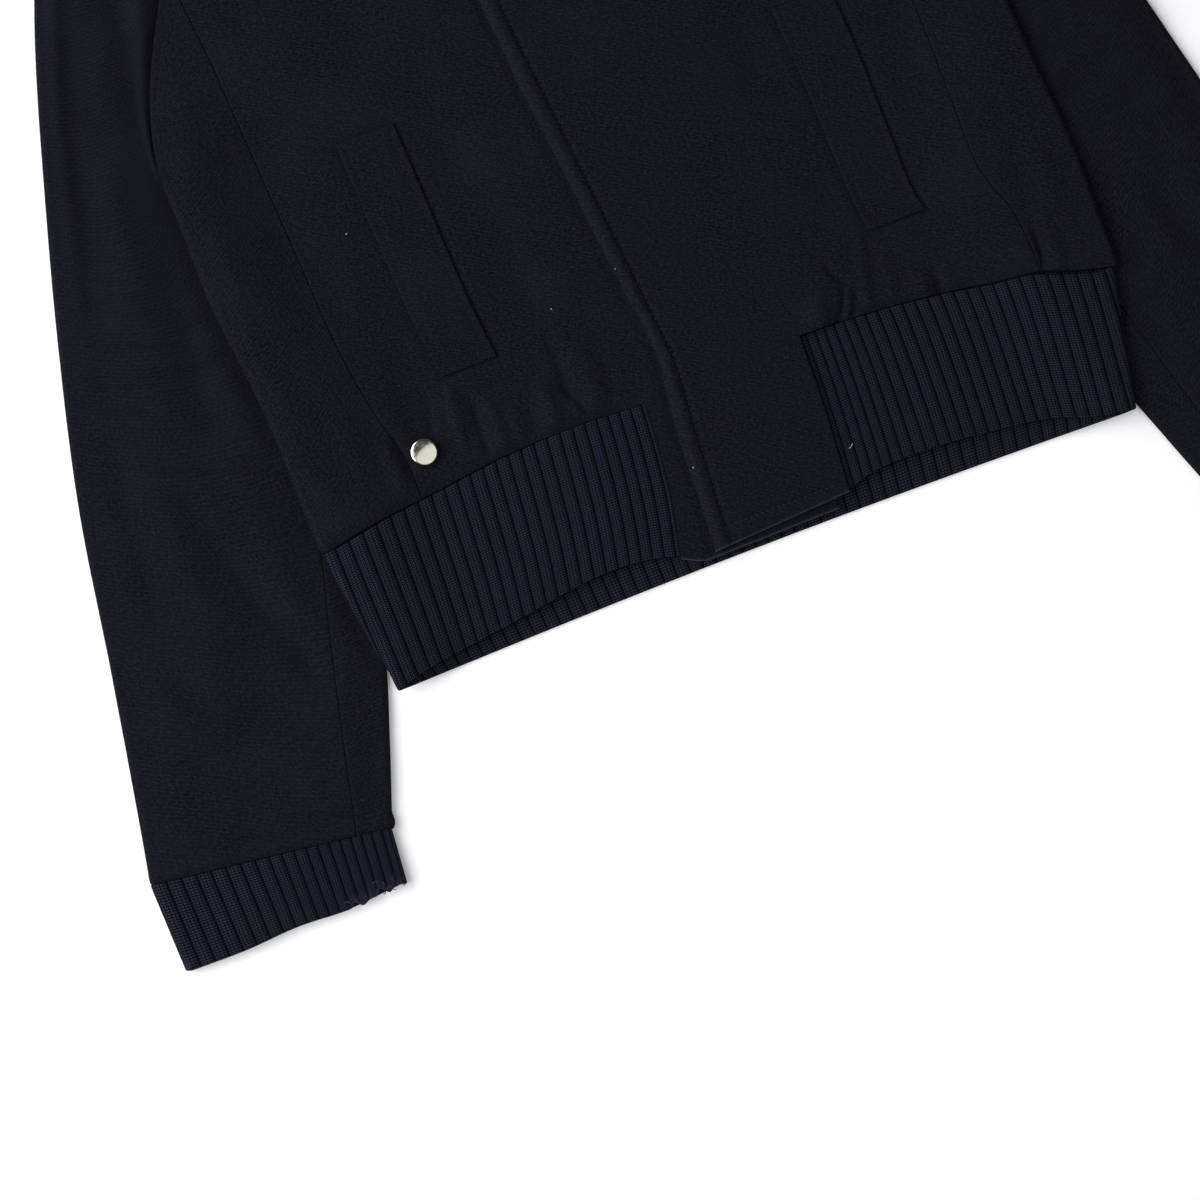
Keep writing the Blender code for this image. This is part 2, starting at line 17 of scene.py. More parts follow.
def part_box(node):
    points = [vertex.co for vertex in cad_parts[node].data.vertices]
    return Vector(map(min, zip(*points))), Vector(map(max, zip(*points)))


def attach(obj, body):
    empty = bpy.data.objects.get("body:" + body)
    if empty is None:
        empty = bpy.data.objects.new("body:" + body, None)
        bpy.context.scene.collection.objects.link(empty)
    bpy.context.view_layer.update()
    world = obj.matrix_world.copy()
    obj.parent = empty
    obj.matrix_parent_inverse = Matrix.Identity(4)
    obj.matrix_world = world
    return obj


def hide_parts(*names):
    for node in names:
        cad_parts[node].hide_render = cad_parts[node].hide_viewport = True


bl_info = {
    "name": "Hooded wool blouson",
    "version": (1, 0, 0),
    "blender": (4, 5, 0),
    "location": "3D View > Sidebar > Blouson",
    "description": "The cloth, knit and metal of a wool blouson laid flat",
    "category": "Add Mesh",
}

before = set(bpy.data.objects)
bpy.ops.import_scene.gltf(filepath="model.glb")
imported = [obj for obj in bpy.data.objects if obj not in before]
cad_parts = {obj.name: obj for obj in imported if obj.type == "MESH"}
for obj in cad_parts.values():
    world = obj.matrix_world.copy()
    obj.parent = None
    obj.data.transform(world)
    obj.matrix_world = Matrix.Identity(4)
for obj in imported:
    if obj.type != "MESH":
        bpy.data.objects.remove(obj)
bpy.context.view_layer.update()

MM = 0.001
SIDES = ("right", "left")
SNAP_AT = (-153, 117)    # the snap's place in u and v, by which they are tied to the frame
SNAP_BOX = [(low + high) / 2 / MM for low, high in zip(*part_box("snap_cap"))]
SHIFT = (SNAP_BOX[0] - SNAP_AT[0], SNAP_BOX[1] - SNAP_AT[1], 0)     # from u, v to the frame

# Driving dimensions, the same as the solids'
CLOTH = 2.0              # thickness of the cloth
KNIT = 2.6               # thickness of the knit
LAY = 0.5                # gap below a piece that lies on a panel
FOLD = 5.6               # from the middle of the lower layer to the middle of the upper one
KNIT_FOLD = 5.4          # the same in the knit
REACH = (FOLD + CLOTH) / 2               # from a side fold's outline to where its arc starts
RIB_REACH = (KNIT_FOLD + KNIT) / 2
UNDERARM_V = 303
YOKE_V = 412             # where the side seams run into the armhole
NECK_U, NECK_V = 85, 605
TIP_U, TIP_V = 203, 553  # shoulder tip
FRONT_NECK_DROP = 75
BACK_NECK_DROP = 15
SHOULDER_PRESS = 14      # how far below the shoulder seam the layers close up
UNDERLAP_U = 45          # edge of the right front, under the fly
FLY_RISE = CLOTH + 0.6   # how much the left front is raised by the underlap
FLY_EASE = (66, 106)     # where it comes down again
SLEEVE_UNDER_LIFT = FOLD + CLOTH + 1     # how much the body is raised by a sleeve under it
LIFT_EASE = (4, 50)      # distances from the sleeve's hidden fold between which it comes down
SEAM_ROW_V = 92          # height at which the edges are read for the row along the hem seam
FIRST_ROW_V = 120        # first straight row above the hem seam
SLEEVE_SWING = 130       # how far the sleeve's lines bow away from the body below the armhole

# Dimensions of the shells alone
SEAM = -0.1              # sewn edges press into each other by this much
RIB_DROP = SEAM * 1.5    # from a seam line to the edge of a piece sewn on below or above it
SEAM_VALLEY = 1.0        # how far the knit sinks where it is sewn to the cloth
HOOD_HEM = 18            # from the hood's front edge to the stitches of its hem
LAST_SIDE_V = 411.4      # upper end of the side panels, where they run out
CLOSE_OVER, PART_OVER = 20, 5    # heights below and above the underarm over which a side fold ends
UNDERARM_TUCK = 4.5      # how far the sleeve goes under the body at the bottom of the armhole
ARMHOLE_V = (TIP_V + SEAM, UNDERARM_V - 7)
SEAM_SHARE = 0.9728      # of the armhole, from the shoulder to the seam on the sleeve's face
BACK_SHARE = 0.2646      # the same for the hidden seam
HIDDEN_LINE = 0.42       # of the underlap, where the right front's grid turns coarse
FLY_LINE = 0.09          # of the way from the fly's stitches to the end of the hem band

# Sizes from which the grids take their number of lines
BACK_WIDTH = 360
SIDE_WIDTH = 50
WELT_WIDTH = 38
SLEEVE_LENGTH = 575
HOOD_LENGTH = 385
HOOD_FRONT, HOOD_BACK = 90, 95           # widths of its layers, from the fold inwards
SLEEVE_TOP = (138, 44)   # widths of a top sleeve, where it shows and where it is hidden
SLEEVE_UNDER = (38, 125)                 # the same for an under sleeve
HEM_DEPTH = 85
CUFF_DEPTH = 44
FINE, COARSE = 2.1, 4    # distances between grid lines where the cloth shows and where it is hidden
SLEEVE_LINES, SLEEVE_ROWS = 2.2, 2.5     # the same for the lines of a sleeve that show and its rows
WELT_LINES, WELT_ROWS = 1.6, 2.0
CUFF_ROWS, HEM_ROWS = 2.6, 3.0
# Strips of the fronts' grids from one guide to the next: width, and distance between lines
RIGHT_STRIPS = ((140, FINE), (32, 2.0), (45, 4.5))
LEFT_STRIPS = ((10, 0.9), (7, 1.0), (68, FINE), (140, FINE))

# Ribs of the knit
RIB_PITCH = 7.7
LINES_PER_RIB, HIDDEN_LINES_PER_RIB = 10, 6
HEM_FOLD_RIBS = 1.1      # ribs round a side fold of the hem band
HEM_BACK_RIBS = 55.3     # ribs across the back
HEM_END_PITCH = 6.8      # width of a rib at the front ends
CUFF_FOLD_RIBS = 1.2     # ribs round a fold of a cuff
CUFF_RIB_COUNT = 38      # ribs all round it


def columns(names, rows):
    """A table's columns by name."""
    return dict(zip(names.split(), np.array(rows, float).T))


# Edges of the body at each height. fold_* is the outline, which is the armhole above UNDERARM_V.
BODY = columns("v fold_right seam_right seam_left fold_left fly", (
    (0, -213, -160, 188, 213, -27),
    (85, -224, -163, 191, 231, -21),
    (118, -225, -164, 190, 233, -17),
    (150, -225, -171, 181, 233, -20),
    (188, -227, -176, 181, 231, -24),
    (232, -231, -178, 182, 229, -28),
    (280, -231, -180, 181, 231, -33),
    (303, -231, -181, 181, 231, -34),
    (326, -228, -182, 182, 228, -36),
    (352, -220, -183, 183, 220, -36),
    (379, -207, -185, 185, 207, -37),
    (391, -200, -186, 186, 200, -37),
    (405, -193, -188, 188, 193, -38),
    (420, -187, -190, 190, 187, -38),
    (450, -182, -190, 190, 182, -38),
    (480, -183, -190, 190, 183, -38),
    (515, -190, -190, 190, 190, -38),
    (553, -203, -190, 190, 203, -38),
))
# Where the hem band is sewn on
HEM_SEAM = columns("u v", (
    (-224, 85),
    (-189, 91),
    (-153, 95),
    (-116, 99),
    (-70, 100),
    (-32, 98),
    (59, 101),
    (100, 99),
    (143, 94),
    (170, 89),
    (190, 86),
    (210, 79),
    (231, 73),
))
# Front ends of the hem band
RIB_END = columns("v right left", (
    (13, -45, 53),
    (45, -38, 56),
    (75, -34, 58),
    (100, -32, 59),
))
# Lower edge of the hem band, at shares of the way from the side fold to its front end
RIB_EDGE = columns("share right left", (
    (0, 2, -2),
    (0.15, 8, 2),
    (0.3, 11, 10),
    (0.5, 15, 15),
    (0.67, 19, 18),
    (0.8, 20, 19),
    (0.91, 18, 18),
    (1, 14, 14),
))
RIB_BACK_BOW = 3.2       # how far that edge rises towards the middle of the back
# Right sleeve from the armhole to the cuff seam: the two folds of the flattened tube, the share of
# the width where the seam shows, and how much nearer the left sleeve lies to the body
SLEEVE = columns("outer_u outer_v inner_u inner_v seam outer_nearer inner_nearer", (
    (-207, 555, -224, 298, 0.975, 0, 0),
    (-230, 499, -225, 278, 0.985, 1, 0),
    (-248, 453, -221, 252, 0.98, 3, 0),
    (-271, 393, -211, 212, 0.962, 9, 2),
    (-296, 314, -200, 165, 0.906, 18, 3),
    (-319, 235, -199, 118, 0.907, 26, 4),
    (-339, 155, -205, 76, 0.892, 28, 5),
    (-354, 72, -213, 24, 0.846, 25, 5),
    (-367, 4, -228, -22, 0.85, 20, 5),
    (-377, -46, -244, -66, 0.877, 16, 5),
))
# Drop of the cuff's edge below the cuff seam and its shift towards the body, outer to inner fold
CUFF = columns("share drop shift", (
    (0, 51, 1),
    (0.25, 47, 1),
    (0.5, 41, 0),
    (0.75, 38, -2),
    (1, 31, -3),
))
# Hood, half: outer fold, front edge and centre seam from the neck to the crown
HOOD = columns("fold_u fold_v edge_u edge_v back_v", (
    (86, 603, 22, 531, 590),
    (104, 652, 27, 590, 630),
    (122, 712, 32, 650, 675),
    (128, 780, 34, 710, 720),
    (118, 846, 31, 765, 765),
    (88, 898, 22, 815, 810),
    (45, 925, 10, 850, 845),
    (0, 932, 0, 866, 866),
))
# Pocket welts: the share of the way across their front and the heights between which they lie
WELTS = {"right": ((0.193, 0.342), (151, 289)), "left": ((0.66, 0.82), (140, 271))}
WELT_SINK = 1.1          # how far a welt is pressed into its front
WELT_STITCH = 5          # from a welt's edge to the groove of its stitches
# The line of stitches that holds the fly: down beside its edge, then along the bottom of the front
FLY_STITCH = columns("v u", (
    (20, -16),
    (46, -14),
    (74, -12),
    (114, -9),
    (143, -11),
    (182, -14),
    (230, -18),
    (278, -22),
    (329, -26),
    (553, -28),
))
FLY_STITCH_TOP = 524     # where the stitches start, just below the neckline
FLY_CORNER = (FLY_STITCH["u"][0], FLY_STITCH["v"][0])
FLY_STITCH_END = (50, 19)
GROOVE = 1.1             # half width of the groove along the stitches
# One stitch: share of its length, and height over the cloth
STITCH_RISE = ((0.1, -0.5), (0.22, 0.05), (0.45, 0.2), (0.66, 0.05), (0.78, -0.5))
# Ribs of the hem band from the side fold to each front end, and of the cuff from fold to fold
HEM_RIBS = columns("share right left", (
    (0, 0.1, 0.5),
    (0.2, 4.5, 4.84),
    (0.4, 9.15, 9.5),
    (0.6, 14, 14.16),
    (0.8, 18.9, 18.93),
    (1, 24.4, 24.65),
))
CUFF_RIBS = columns("share rib", (
    (0, 0.35),
    (0.25, 4.2),
    (0.5, 8.15),
    (0.75, 12.9),
    (1, 18.3),
))

# Worn places of the right cuff's edge: rib, half width in ribs and how far the edge is drawn up
CUFF_WEAR = (
    (13.6, 0.30, 2.4),
    (14.3, 0.35, -1.0),
    (15.2, 0.25, 0.9),
    (16.3, 0.40, 2.9),
    (17.1, 0.30, -1.2),
)
# Lint: place, length, thickness
LINT = (
    (-149, 242, 1.2, 0.17),
    (-119, 225, 0.8, 0.15),
    (-61, 164, 0.9, 0.15),
    (-21, 171, 0.7, 0.15),
    (-21, 56, 1.0, 0.16),
    (62.5, 36, 4.2, 0.13),
)

# Loose loops of yarn at the worn edge: place and turn in degrees
FRAY = (
    (-281, -94, 20),
    (-275, -95.5, 150),
    (-270.5, -95, 80),
    (-266.5, -96, 200),
    (-263, -94.5, 110),
    (-260, -96.3, 250),
    (-257, -95, 60),
    (-254.5, -96.2, 170),
    (-252, -94.5, 300),
    (-249.8, -95.8, 20),
    (-258.5, -91.5, 140),
    (-253, -90, 260),
    (-263, -89.5, 30),
)
FRAY_Z = KNIT + KNIT_FOLD + 0.1          # just above the cuff
FRAY_RADIUS = 0.22

# Creases: from (u0, v0) to (u1, v1), half width, height (a trough is below 0) and bow to the left
BODY_FOLDS = (
    # right front: beside the side seam, round the pocket and down to the hem band
    (-181, 262, -184, 190, 11, -1.12, 0),
    (-160, 214, -163, 122, 9, 1.38, 2),
    (-140, 240, -131, 168, 7, -0.62, -2),
    (-90, 300, -76, 168, 17, -1.38, 5),
    (-72, 215, -71, 150, 10, -1.12, 0),
    (-128, 142, -132, 112, 3.06, 2.1, 0),
    (-119, 134, -121, 104, 2.55, -2.24, 0),
    (-110, 128, -111, 104, 3.4, 1.68, 0),
    (-142, 146, -146, 122, 3.4, -1.26, 1),
    (-69, 150, -69, 118, 2.89, -2.1, 1),
    (-71, 122, -63, 104, 1.87, -2.94, 1),
    (-56, 142, -55, 106, 8, 2.25, 0),
    (-80, 128, -81, 104, 3.82, 2.1, 0),
    (-91, 122, -92, 106, 2.72, -1.26, 0),
    (-101, 122, -101, 106, 3.06, 1.4, 0),
    (-166, 130, -163, 107, 2.55, -2.1, 0),
    (-172, 128, -170, 100, 3.4, 1.54, 0),
    (-44, 130, -47, 104, 3.4, -0.84, 0),
    # left front: the V by the end of the hem band, the tuck at the side seam and the pocket
    (85, 132, 95, 116, 1.61, -2.38, -1.5),
    (90, 117, 80, 99, 1.44, -2.66, 1),
    (99, 117, 88, 98, 1.53, -2.1, -1),
    (91, 111, 86, 102, 1.87, 2.24, 0),
    (103, 122, 98, 100, 3.82, 1.82, 0),
    (77, 120, 72, 102, 4.25, 1.4, 0),
    (108, 141, 104, 121, 2.72, 1.54, 0),
    (139, 108, 138, 92, 1.87, -2.24, 0),
    (131, 110, 130, 94, 3.4, 1.26, 0),
    (117, 126, 113, 103, 4.25, 1.26, 0),
    (147, 108, 146, 93, 2.89, 1.12, 0),
    (150, 112, 190, 97, 4.67, 2.1, 2),
    (196, 110, 193, 86, 2.04, -3.08, 1),
    (203, 112, 201, 82, 4.25, 1.82, 0),
    (52, 236, 64, 160, 20, -1.12, 4),
    (92, 262, 86, 205, 13, -0.75, 0),
    (182, 182, 181, 152, 4, 1, 0),
    (214, 150, 209, 92, 8, 1.38, 0),
    (202, 160, 200, 118, 5, -0.64, 0),
    (150, 250, 146, 150, 12, 0.88, 3),
    (10, 150, 24, 60, 16, 0.88, 0),
    (30, 60, 44, 30, 9, 0.75, 0),
    # sides
    (-206, 350, -213, 250, 8, 0.72, 3),
    (-217, 240, -207, 150, 7, 0.8, -3),
    (-199, 200, -196, 110, 6, -0.64, 0),
    (-217, 160, -208, 96, 5, 0.72, 0),
    # chest and shoulders
    (-150, 420, -100, 330, 16, -1.38, 6),
    (-120, 470, -60, 400, 13, 1.25, -5),
    (-170, 500, -120, 452, 11, -1.12, 4),
    (-62, 520, -50, 430, 12, -1, 3),
    (150, 410, 104, 320, 17, -1.5, -6),
    (118, 486, 66, 410, 13, 1.25, 5),
    (168, 508, 128, 448, 10, -1.25, -4),
    (20, 500, 34, 400, 14, -1, 3),
    (60, 360, 76, 290, 12, 1, 0),
)
SLEEVE_FOLDS = {
    "right": (
        # lengthwise, from the shoulder to the cuff
        (-247, 392, -274, 311, 13, -2.21, -3),
        (-273, 318, -295, 243, 11, -1.95, 0),
        (-294, 250, -312, 160, 10, -1.95, -2),
        (-311, 168, -326, 70, 11, -1.82, 2),
        (-282, 142, -266, 78, 9, -1.56, -2),
        (-269, 88, -250, 18, 8, -1.43, 2),
        (-236, 142, -232, 62, 7, -1.17, 0),
        (-241, 300, -256, 178, 9, -1.17, 4),
        (-214, 424, -231, 338, 9, -2.86, 0),
        (-258, 330, -276, 190, 12, 1.69, 3),
        (-290, 130, -302, 40, 12, 1.3, 0),
        (-252, 120, -246, 50, 9, 1.04, 0),
        # across the elbow
        (-302, 270, -246, 252, 4.5, 1.17, -1),
        (-288, 256, -242, 238, 3.6, -1.56, -1),
        (-290, 246, -245, 228, 3.2, 1.17, -1),
        (-292, 237, -243, 217, 2.8, -1.43, -1),
        (-300, 228, -250, 209, 4.5, 1.04, 1),
        (-303, 216, -237, 201, 3.2, -1.95, -3),
        (-314, 207, -282, 192, 3, -1.56, 1),
        (-310, 196, -262, 178, 5.5, 1.43, 0),
        (-300, 167, -227, 141, 3.4, -1.69, -2),
        (-296, 157, -236, 134, 5, 1.04, 0),
        (-318, 244, -292, 228, 3.6, 1.17, 0),
        # above the cuff
        (-356, 28, -296, 0, 8, -1.69, -6),
        (-334, 38, -300, 17, 7, 1.43, -2),
        (-352, 8, -318, -10, 6, 1.17, 0),
        (-268, -48, -252, -60, 2.4, -1.82, 0),
        (-280, -30, -262, -48, 5, 1.04, 0),
    ),
    "left": (
        (232, 182, 266, 190, 3.6, 1.82, 1),
        (236, 172, 270, 178, 3.4, -1.56, 0),
        (240, 160, 281, 168, 4.2, 1.95, 1),
        (244, 150, 284, 155, 3.6, -1.56, -1),
        (246, 141, 286, 143, 4.2, 1.17, 0),
        (296, 186, 304, 120, 10, -1.95, 3),
        (240, 134, 236, 92, 7, -1.3, 2),
        (254, 106, 266, 60, 8, 1.56, 0),
        (228, 62, 243, 28, 6, -1.17, 0),
        (270, 120, 292, 40, 10, -1.3, -3),
        (246, 392, 268, 300, 12, -2.08, 3),
        (262, 318, 272, 214, 11, 1.69, -3),
        (284, 292, 286, 212, 9, -1.56, 0),
        (240, 232, 284, 240, 4.5, -1.56, 1),
        (238, 214, 286, 220, 4.5, 1.3, 0),
        (300, 40, 336, 6, 8, -1.56, 5),
        (268, 10, 322, 26, 7, 1.17, -2),
        (252, 2, 262, -44, 5, -1.17, 0),
    ),
}
HOOD_FOLDS = (
    (-96, 640, -48, 700, 9, -1.1, 4),
    (-102, 700, -56, 742, 8, 1.2, 3),
    (-112, 760, -52, 800, 9, -1.2, -4),
    (-98, 830, -44, 842, 8, 1.1, 3),
    (-70, 884, -24, 872, 6, -1.0, 2),
    (-58, 620, -36, 664, 5, 0.9, 0),
    (40, 612, 96, 668, 9, -1.2, -4),
    (44, 688, 112, 720, 8, 1.2, -3),
    (50, 748, 116, 780, 9, -1.1, 4),
    (42, 806, 104, 836, 8, 1.1, -3),
    (26, 860, 72, 888, 6, -1.0, 2),
    (30, 560, 66, 602, 6, 1.0, 0),
)


# Curves and forms

def lerp(a, b, t):
    return a + (b - a) * t


def ease(t):
    t = np.clip(t, 0, 1)
    return t * t * (3 - 2 * t)


def bell(distance, width):
    """A soft rise that is 1 at no distance and under 0.4 at its width."""
    return np.exp(-(distance / width) ** 2)


def smooth(xs, ys, x):
    """A smooth curve through the points of a table, read at x."""
    x = np.asarray(x, float)
    last = len(xs) - 1
    i = np.clip(np.searchsorted(xs, x, side="left") - 1, 0, last - 1)
    knots = np.arange(last + 1)
    low, high = np.maximum(knots - 1, 0), np.minimum(knots + 1, last)
    slope = (ys[high] - ys[low]) / (xs[high] - xs[low])
    width = xs[i + 1] - xs[i]
    t = np.clip((x - xs[i]) / width, 0, 1)
    rise = ys[i + 1] - ys[i]
    a = slope[i] * width - rise
    b = rise - slope[i + 1] * width
    return lerp(ys[i], ys[i + 1], t) + t * (1 - t) * (a * (1 - t) + b * t)


def read(table, name, share):
    """A column of a table with even rows, read at a share of its length."""
    values = table[name]
    return smooth(np.arange(len(values)), values, np.asarray(share) * (len(values) - 1))


def square_to(line, share):
    """Unit vector square to a line, to its right, at a share of its length."""
    run = line(np.minimum(share + 0.02, 1)) - line(np.maximum(share - 0.02, 0))
    across = np.stack([run[..., 1], -run[..., 0]], axis=-1)
    return across / np.linalg.norm(across, axis=-1, keepdims=True)


def body(name, v):
    return smooth(BODY["v"], BODY[name], v)


def hem_seam(u):
    return smooth(HEM_SEAM["u"], HEM_SEAM["v"], u)


def sign_of(side):
    return -1 if side == "right" else 1


def sleeve_edge(u, v):
    """u of the hidden inner fold of the sleeve on the same side as u, at the height v."""
    vs = SLEEVE["inner_v"][::-1]
    edge = smooth(vs, SLEEVE["inner_u"][::-1], v)
    near = smooth(vs, SLEEVE["inner_nearer"][::-1], v)
    return np.where(u < 0, edge, -edge - near)


def ramp(t):
    """An even rise from 0 to 1 with rounded ends."""
    end = 0.2
    t = np.clip(t, 0, 1)
    near = np.minimum(t, 1 - t)
    part = np.where(near < end, near ** 2 / (2 * end), near - end / 2) / (1 - end)
    return np.where(t < 0.5, part, 1 - part)


def lift(u, v):
    """How much the body is raised where it lies on a sleeve."""
    inside = np.abs(sleeve_edge(u, v)) - np.abs(u)
    across = 1 - ramp((inside - LIFT_EASE[0]) / (LIFT_EASE[1] - LIFT_EASE[0]))
    return SLEEVE_UNDER_LIFT * across * (1 - ease((v - UNDERARM_V) / 45))


def top_edge(u, drop):
    """Top edge of a panel at u: the neckline, and outside it the shoulder seam."""
    u = np.abs(u)
    neck = NECK_V - drop * (1 - np.minimum(u / NECK_U, 1) ** 2.2)
    return np.where(u < NECK_U, neck, lerp(NECK_V, TIP_V, (u - NECK_U) / (TIP_U - NECK_U)))


def front_top(u):
    return top_edge(u, FRONT_NECK_DROP)


def underlap_top(u):
    """Top edge of the right front, which stays level under the fly."""
    return front_top(np.minimum(u, 0))


def back_top(u):
    return top_edge(u, BACK_NECK_DROP)


def lower_z(u, v):
    """Middle of the wall of the lower layer."""
    return CLOTH / 2 + lift(u, v)


def upper_z(u, v):
    """Middle of the wall of the upper layer, closed up along the shoulder seam."""
    near = ease(1 - (front_top(u) - v) / SHOULDER_PRESS) * ease((np.abs(u) - NECK_U + 20) / 20)
    return lower_z(u, v) + lerp(FOLD, CLOTH + LAY, near)


def fly_z(u, v):
    """Upper layer of the left front, which lies on the underlap."""
    return upper_z(u, v) + FLY_RISE * (1 - ease((u - FLY_EASE[0]) / (FLY_EASE[1] - FLY_EASE[0])))


def crease(table, u, v):
    """Height of the creases of a table at each point."""
    height = np.zeros(np.shape(u))
    for u0, v0, u1, v1, width, peak, bow in table:
        run = math.hypot(u1 - u0, v1 - v0)
        along = ((u - u0) * (u1 - u0) + (v - v0) * (v1 - v0)) / run ** 2
        across = ((v - v0) * (u1 - u0) - (u - u0) * (v1 - v0)) / run - 4 * bow * along * (1 - along)
        ends = ease((along + 0.22) / 0.42) * ease((1.22 - along) / 0.42)
        height += peak * ends * bell(across, width)
    return height


def slack(u, v):
    """Soft unevenness of cloth that was put down by hand."""
    height = np.zeros(np.shape(u))
    for (wide, long, tall), seed in zip(((52, 70, 0.8), (19, 25, 0.36)), (3.7, 9.1)):
        flat = [noise.noise(Vector((a / wide, b / long, seed))) * tall for a, b in zip(u.flat, v.flat)]
        height += np.reshape(flat, np.shape(u))
    return height


def body_crease(u, v):
    """Creases of the body, and the cloth's swell above the hem seam."""
    above = v - hem_seam(u)
    swell = 1.7 * bell(above - 8, 7) - 0.8 * bell(above, 2.2)
    beside_fly = ease((np.abs(u - 13) - 46) / 14)
    return crease(BODY_FOLDS, u, v) + slack(u, v) + swell * beside_fly


# Making a shell

EDGE_STEPS = (0, 0.14, 0.42, 0.85, 1.5)      # distances from a rounded edge at which a grid has a line
ARC = np.radians(np.linspace(0, 180, 13))[1:-1]     # turns round a fold at which a grid has a line


def stops(length, pitch, start=True, end=True):
    """Shares of a length: close together by a rounded edge, then a pitch apart."""
    near = np.array(EDGE_STEPS)
    low = near[-1] if start else 0
    high = length - (near[-1] if end else 0)
    inner = np.linspace(low, high, max(int(round((high - low) / pitch)), 1) + 1)
    parts = [near[:-1]] if start else []
    parts.append(inner)
    if end:
        parts.append(length - near[:-1][::-1])
    return np.concatenate(parts) / length


def across_strips(strips, edges):
    """Grid lines across several strips: strip i runs from i to i + 1. edges are the lines that are
    rounded edges."""
    lines = [stops(width, pitch, i in edges, i + 1 in edges) + i
             for i, (width, pitch) in enumerate(strips)]
    return np.concatenate([lines[0]] + [line[1:] for line in lines[1:]])


def fold_angles(upper, lower):
    """Turn round a fold at each line: 0 on the lines of the upper layer, pi on those of the lower."""
    return np.concatenate([np.zeros(upper), ARC, np.full(lower, math.pi)])


def spread(guides, lines, v):
    """u on grid lines between guides, which are functions of the height."""
    strip = np.minimum(lines.astype(int), len(guides) - 2)
    u = np.zeros(v.shape)
    for i in range(len(guides) - 1):
        here = strip == i
        u[:, here] = lerp(guides[i](v[:, here]), guides[i + 1](v[:, here]), lines[here] - i)
    return u


def lengths(u, v, z, axis):
    """Running length of a grid along an axis, from its middle line."""
    step = np.sqrt(sum(np.nan_to_num(np.diff(c, axis=axis)) ** 2 for c in (u, v, z)))
    total = np.cumsum(step, axis=axis)
    first = np.zeros_like(np.take(total, [0], axis=axis))
    total = np.concatenate([first, total], axis=axis)
    return total - np.take(total, [total.shape[axis] // 2], axis=axis)


def corner_ids(ids, closed):
    """The four corners of each cell of a grid of point numbers."""
    after = np.roll(ids, -1, axis=1) if closed else ids[:, 1:]
    before = ids if closed else ids[:, :-1]
    return np.stack([before[:-1], after[:-1], after[1:], before[1:]], axis=-1).reshape(-1, 4)


def shell(name, u, v, z, half, material, across=None, along=None, wrap=0.0, wear=0.0):
    """A wall on a grid of middle points. half is half its thickness, across and along its pattern in
    millimetres, wear the share to which it is made pale: rubbed wear, and painted highlight where the
    fly's ridge and the fronts' lower edges catch the light. The edges are rounded. A grid with a wrap
    is closed, and its pattern goes on over it."""
    closed = wrap != 0
    there = ~np.isnan(u)
    ids = np.full(u.shape, -1)
    ids[there] = np.arange(there.sum())
    cells = corner_ids(ids, closed)
    keep = (cells >= 0).all(axis=1)
    cells = cells[keep]
    points = np.stack([u[there], v[there], z[there]], axis=1)
    a, b, c, d = (points[cells[:, corner]] for corner in range(4))
    slope = np.cross(c - a, d - b)
    normals = np.zeros_like(points)
    for corner in range(4):
        np.add.at(normals, cells[:, corner], slope)
    normals /= np.linalg.norm(normals, axis=1)[:, None]

    sides = np.sort(np.stack([cells, np.roll(cells, -1, axis=1)], axis=-1).reshape(-1, 2), axis=1)
    pairs, count = np.unique(sides, axis=0, return_counts=True)
    rim = np.unique(pairs[count == 1])
    on_rim = np.zeros(len(points), bool)
    on_rim[rim] = True
    tree = KDTree(len(rim))
    for i in rim:
        tree.insert(points[i], int(i))
    tree.balance()
    wall = np.broadcast_to(half, u.shape)[there]
    distance = np.array([tree.find(p)[2] for p in points])
    round_off = np.sqrt(1 - (1 - np.minimum(distance / wall, 1)) ** 2)
    wall = np.where(on_rim, 0, wall * round_off)

    under = np.where(on_rim, np.arange(len(points)), len(points) - 1 + np.cumsum(~on_rim))
    out = normals * wall[:, None]
    verts = np.concatenate([points + out, (points - out)[~on_rim]])
    faces = np.concatenate([cells, under[cells[:, ::-1]]])
    verts[:, 0] += SHIFT[0]
    verts[:, 1] += SHIFT[1]
    mesh = bpy.data.meshes.new(name)
    mesh.from_pydata((verts * MM).tolist(), [], faces.tolist())
    mesh.shade_smooth()
    # pale share: rubbed wear, and painted highlight on the fly's ridge and the fronts' lower edges
    worn = np.broadcast_to(wear, u.shape)[there]
    pale = mesh.attributes.new("Wear", "FLOAT", "POINT")
    pale.data.foreach_set("value", np.concatenate([worn, worn[~on_rim]]).astype(np.float32))

    if across is None:
        across = lengths(u, v, z, 1)
    if along is None:
        along = lengths(u, v, z, 0)
    loops = []
    for pattern, gain in ((across, wrap), (along, 0)):
        pattern = np.broadcast_to(pattern, u.shape)
        after = np.roll(pattern, -1, axis=1)
        after[:, -1] += gain
        before = pattern if closed else pattern[:, :-1]
        after = after if closed else pattern[:, 1:]
        corners = np.stack([before[:-1], after[:-1], after[1:], before[1:]], axis=-1)
        corners = corners.reshape(-1, 4)[keep]
        loops.append(np.concatenate([corners, corners[:, ::-1]]).ravel())
    layer = mesh.uv_layers.new(name="Weave")
    layer.data.foreach_set("uv", (np.stack(loops, axis=1) * MM).ravel())
    return add_piece(name, mesh, material)


def add_piece(name, mesh, material):
    mesh.materials.append(material)
    piece = bpy.data.objects.new(name, mesh)
    bpy.context.scene.collection.objects.link(piece)
    return piece


def dress(piece, node):
    """Put a piece in place of its solid."""
    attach(piece, "root")
    if node:
        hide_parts(node)


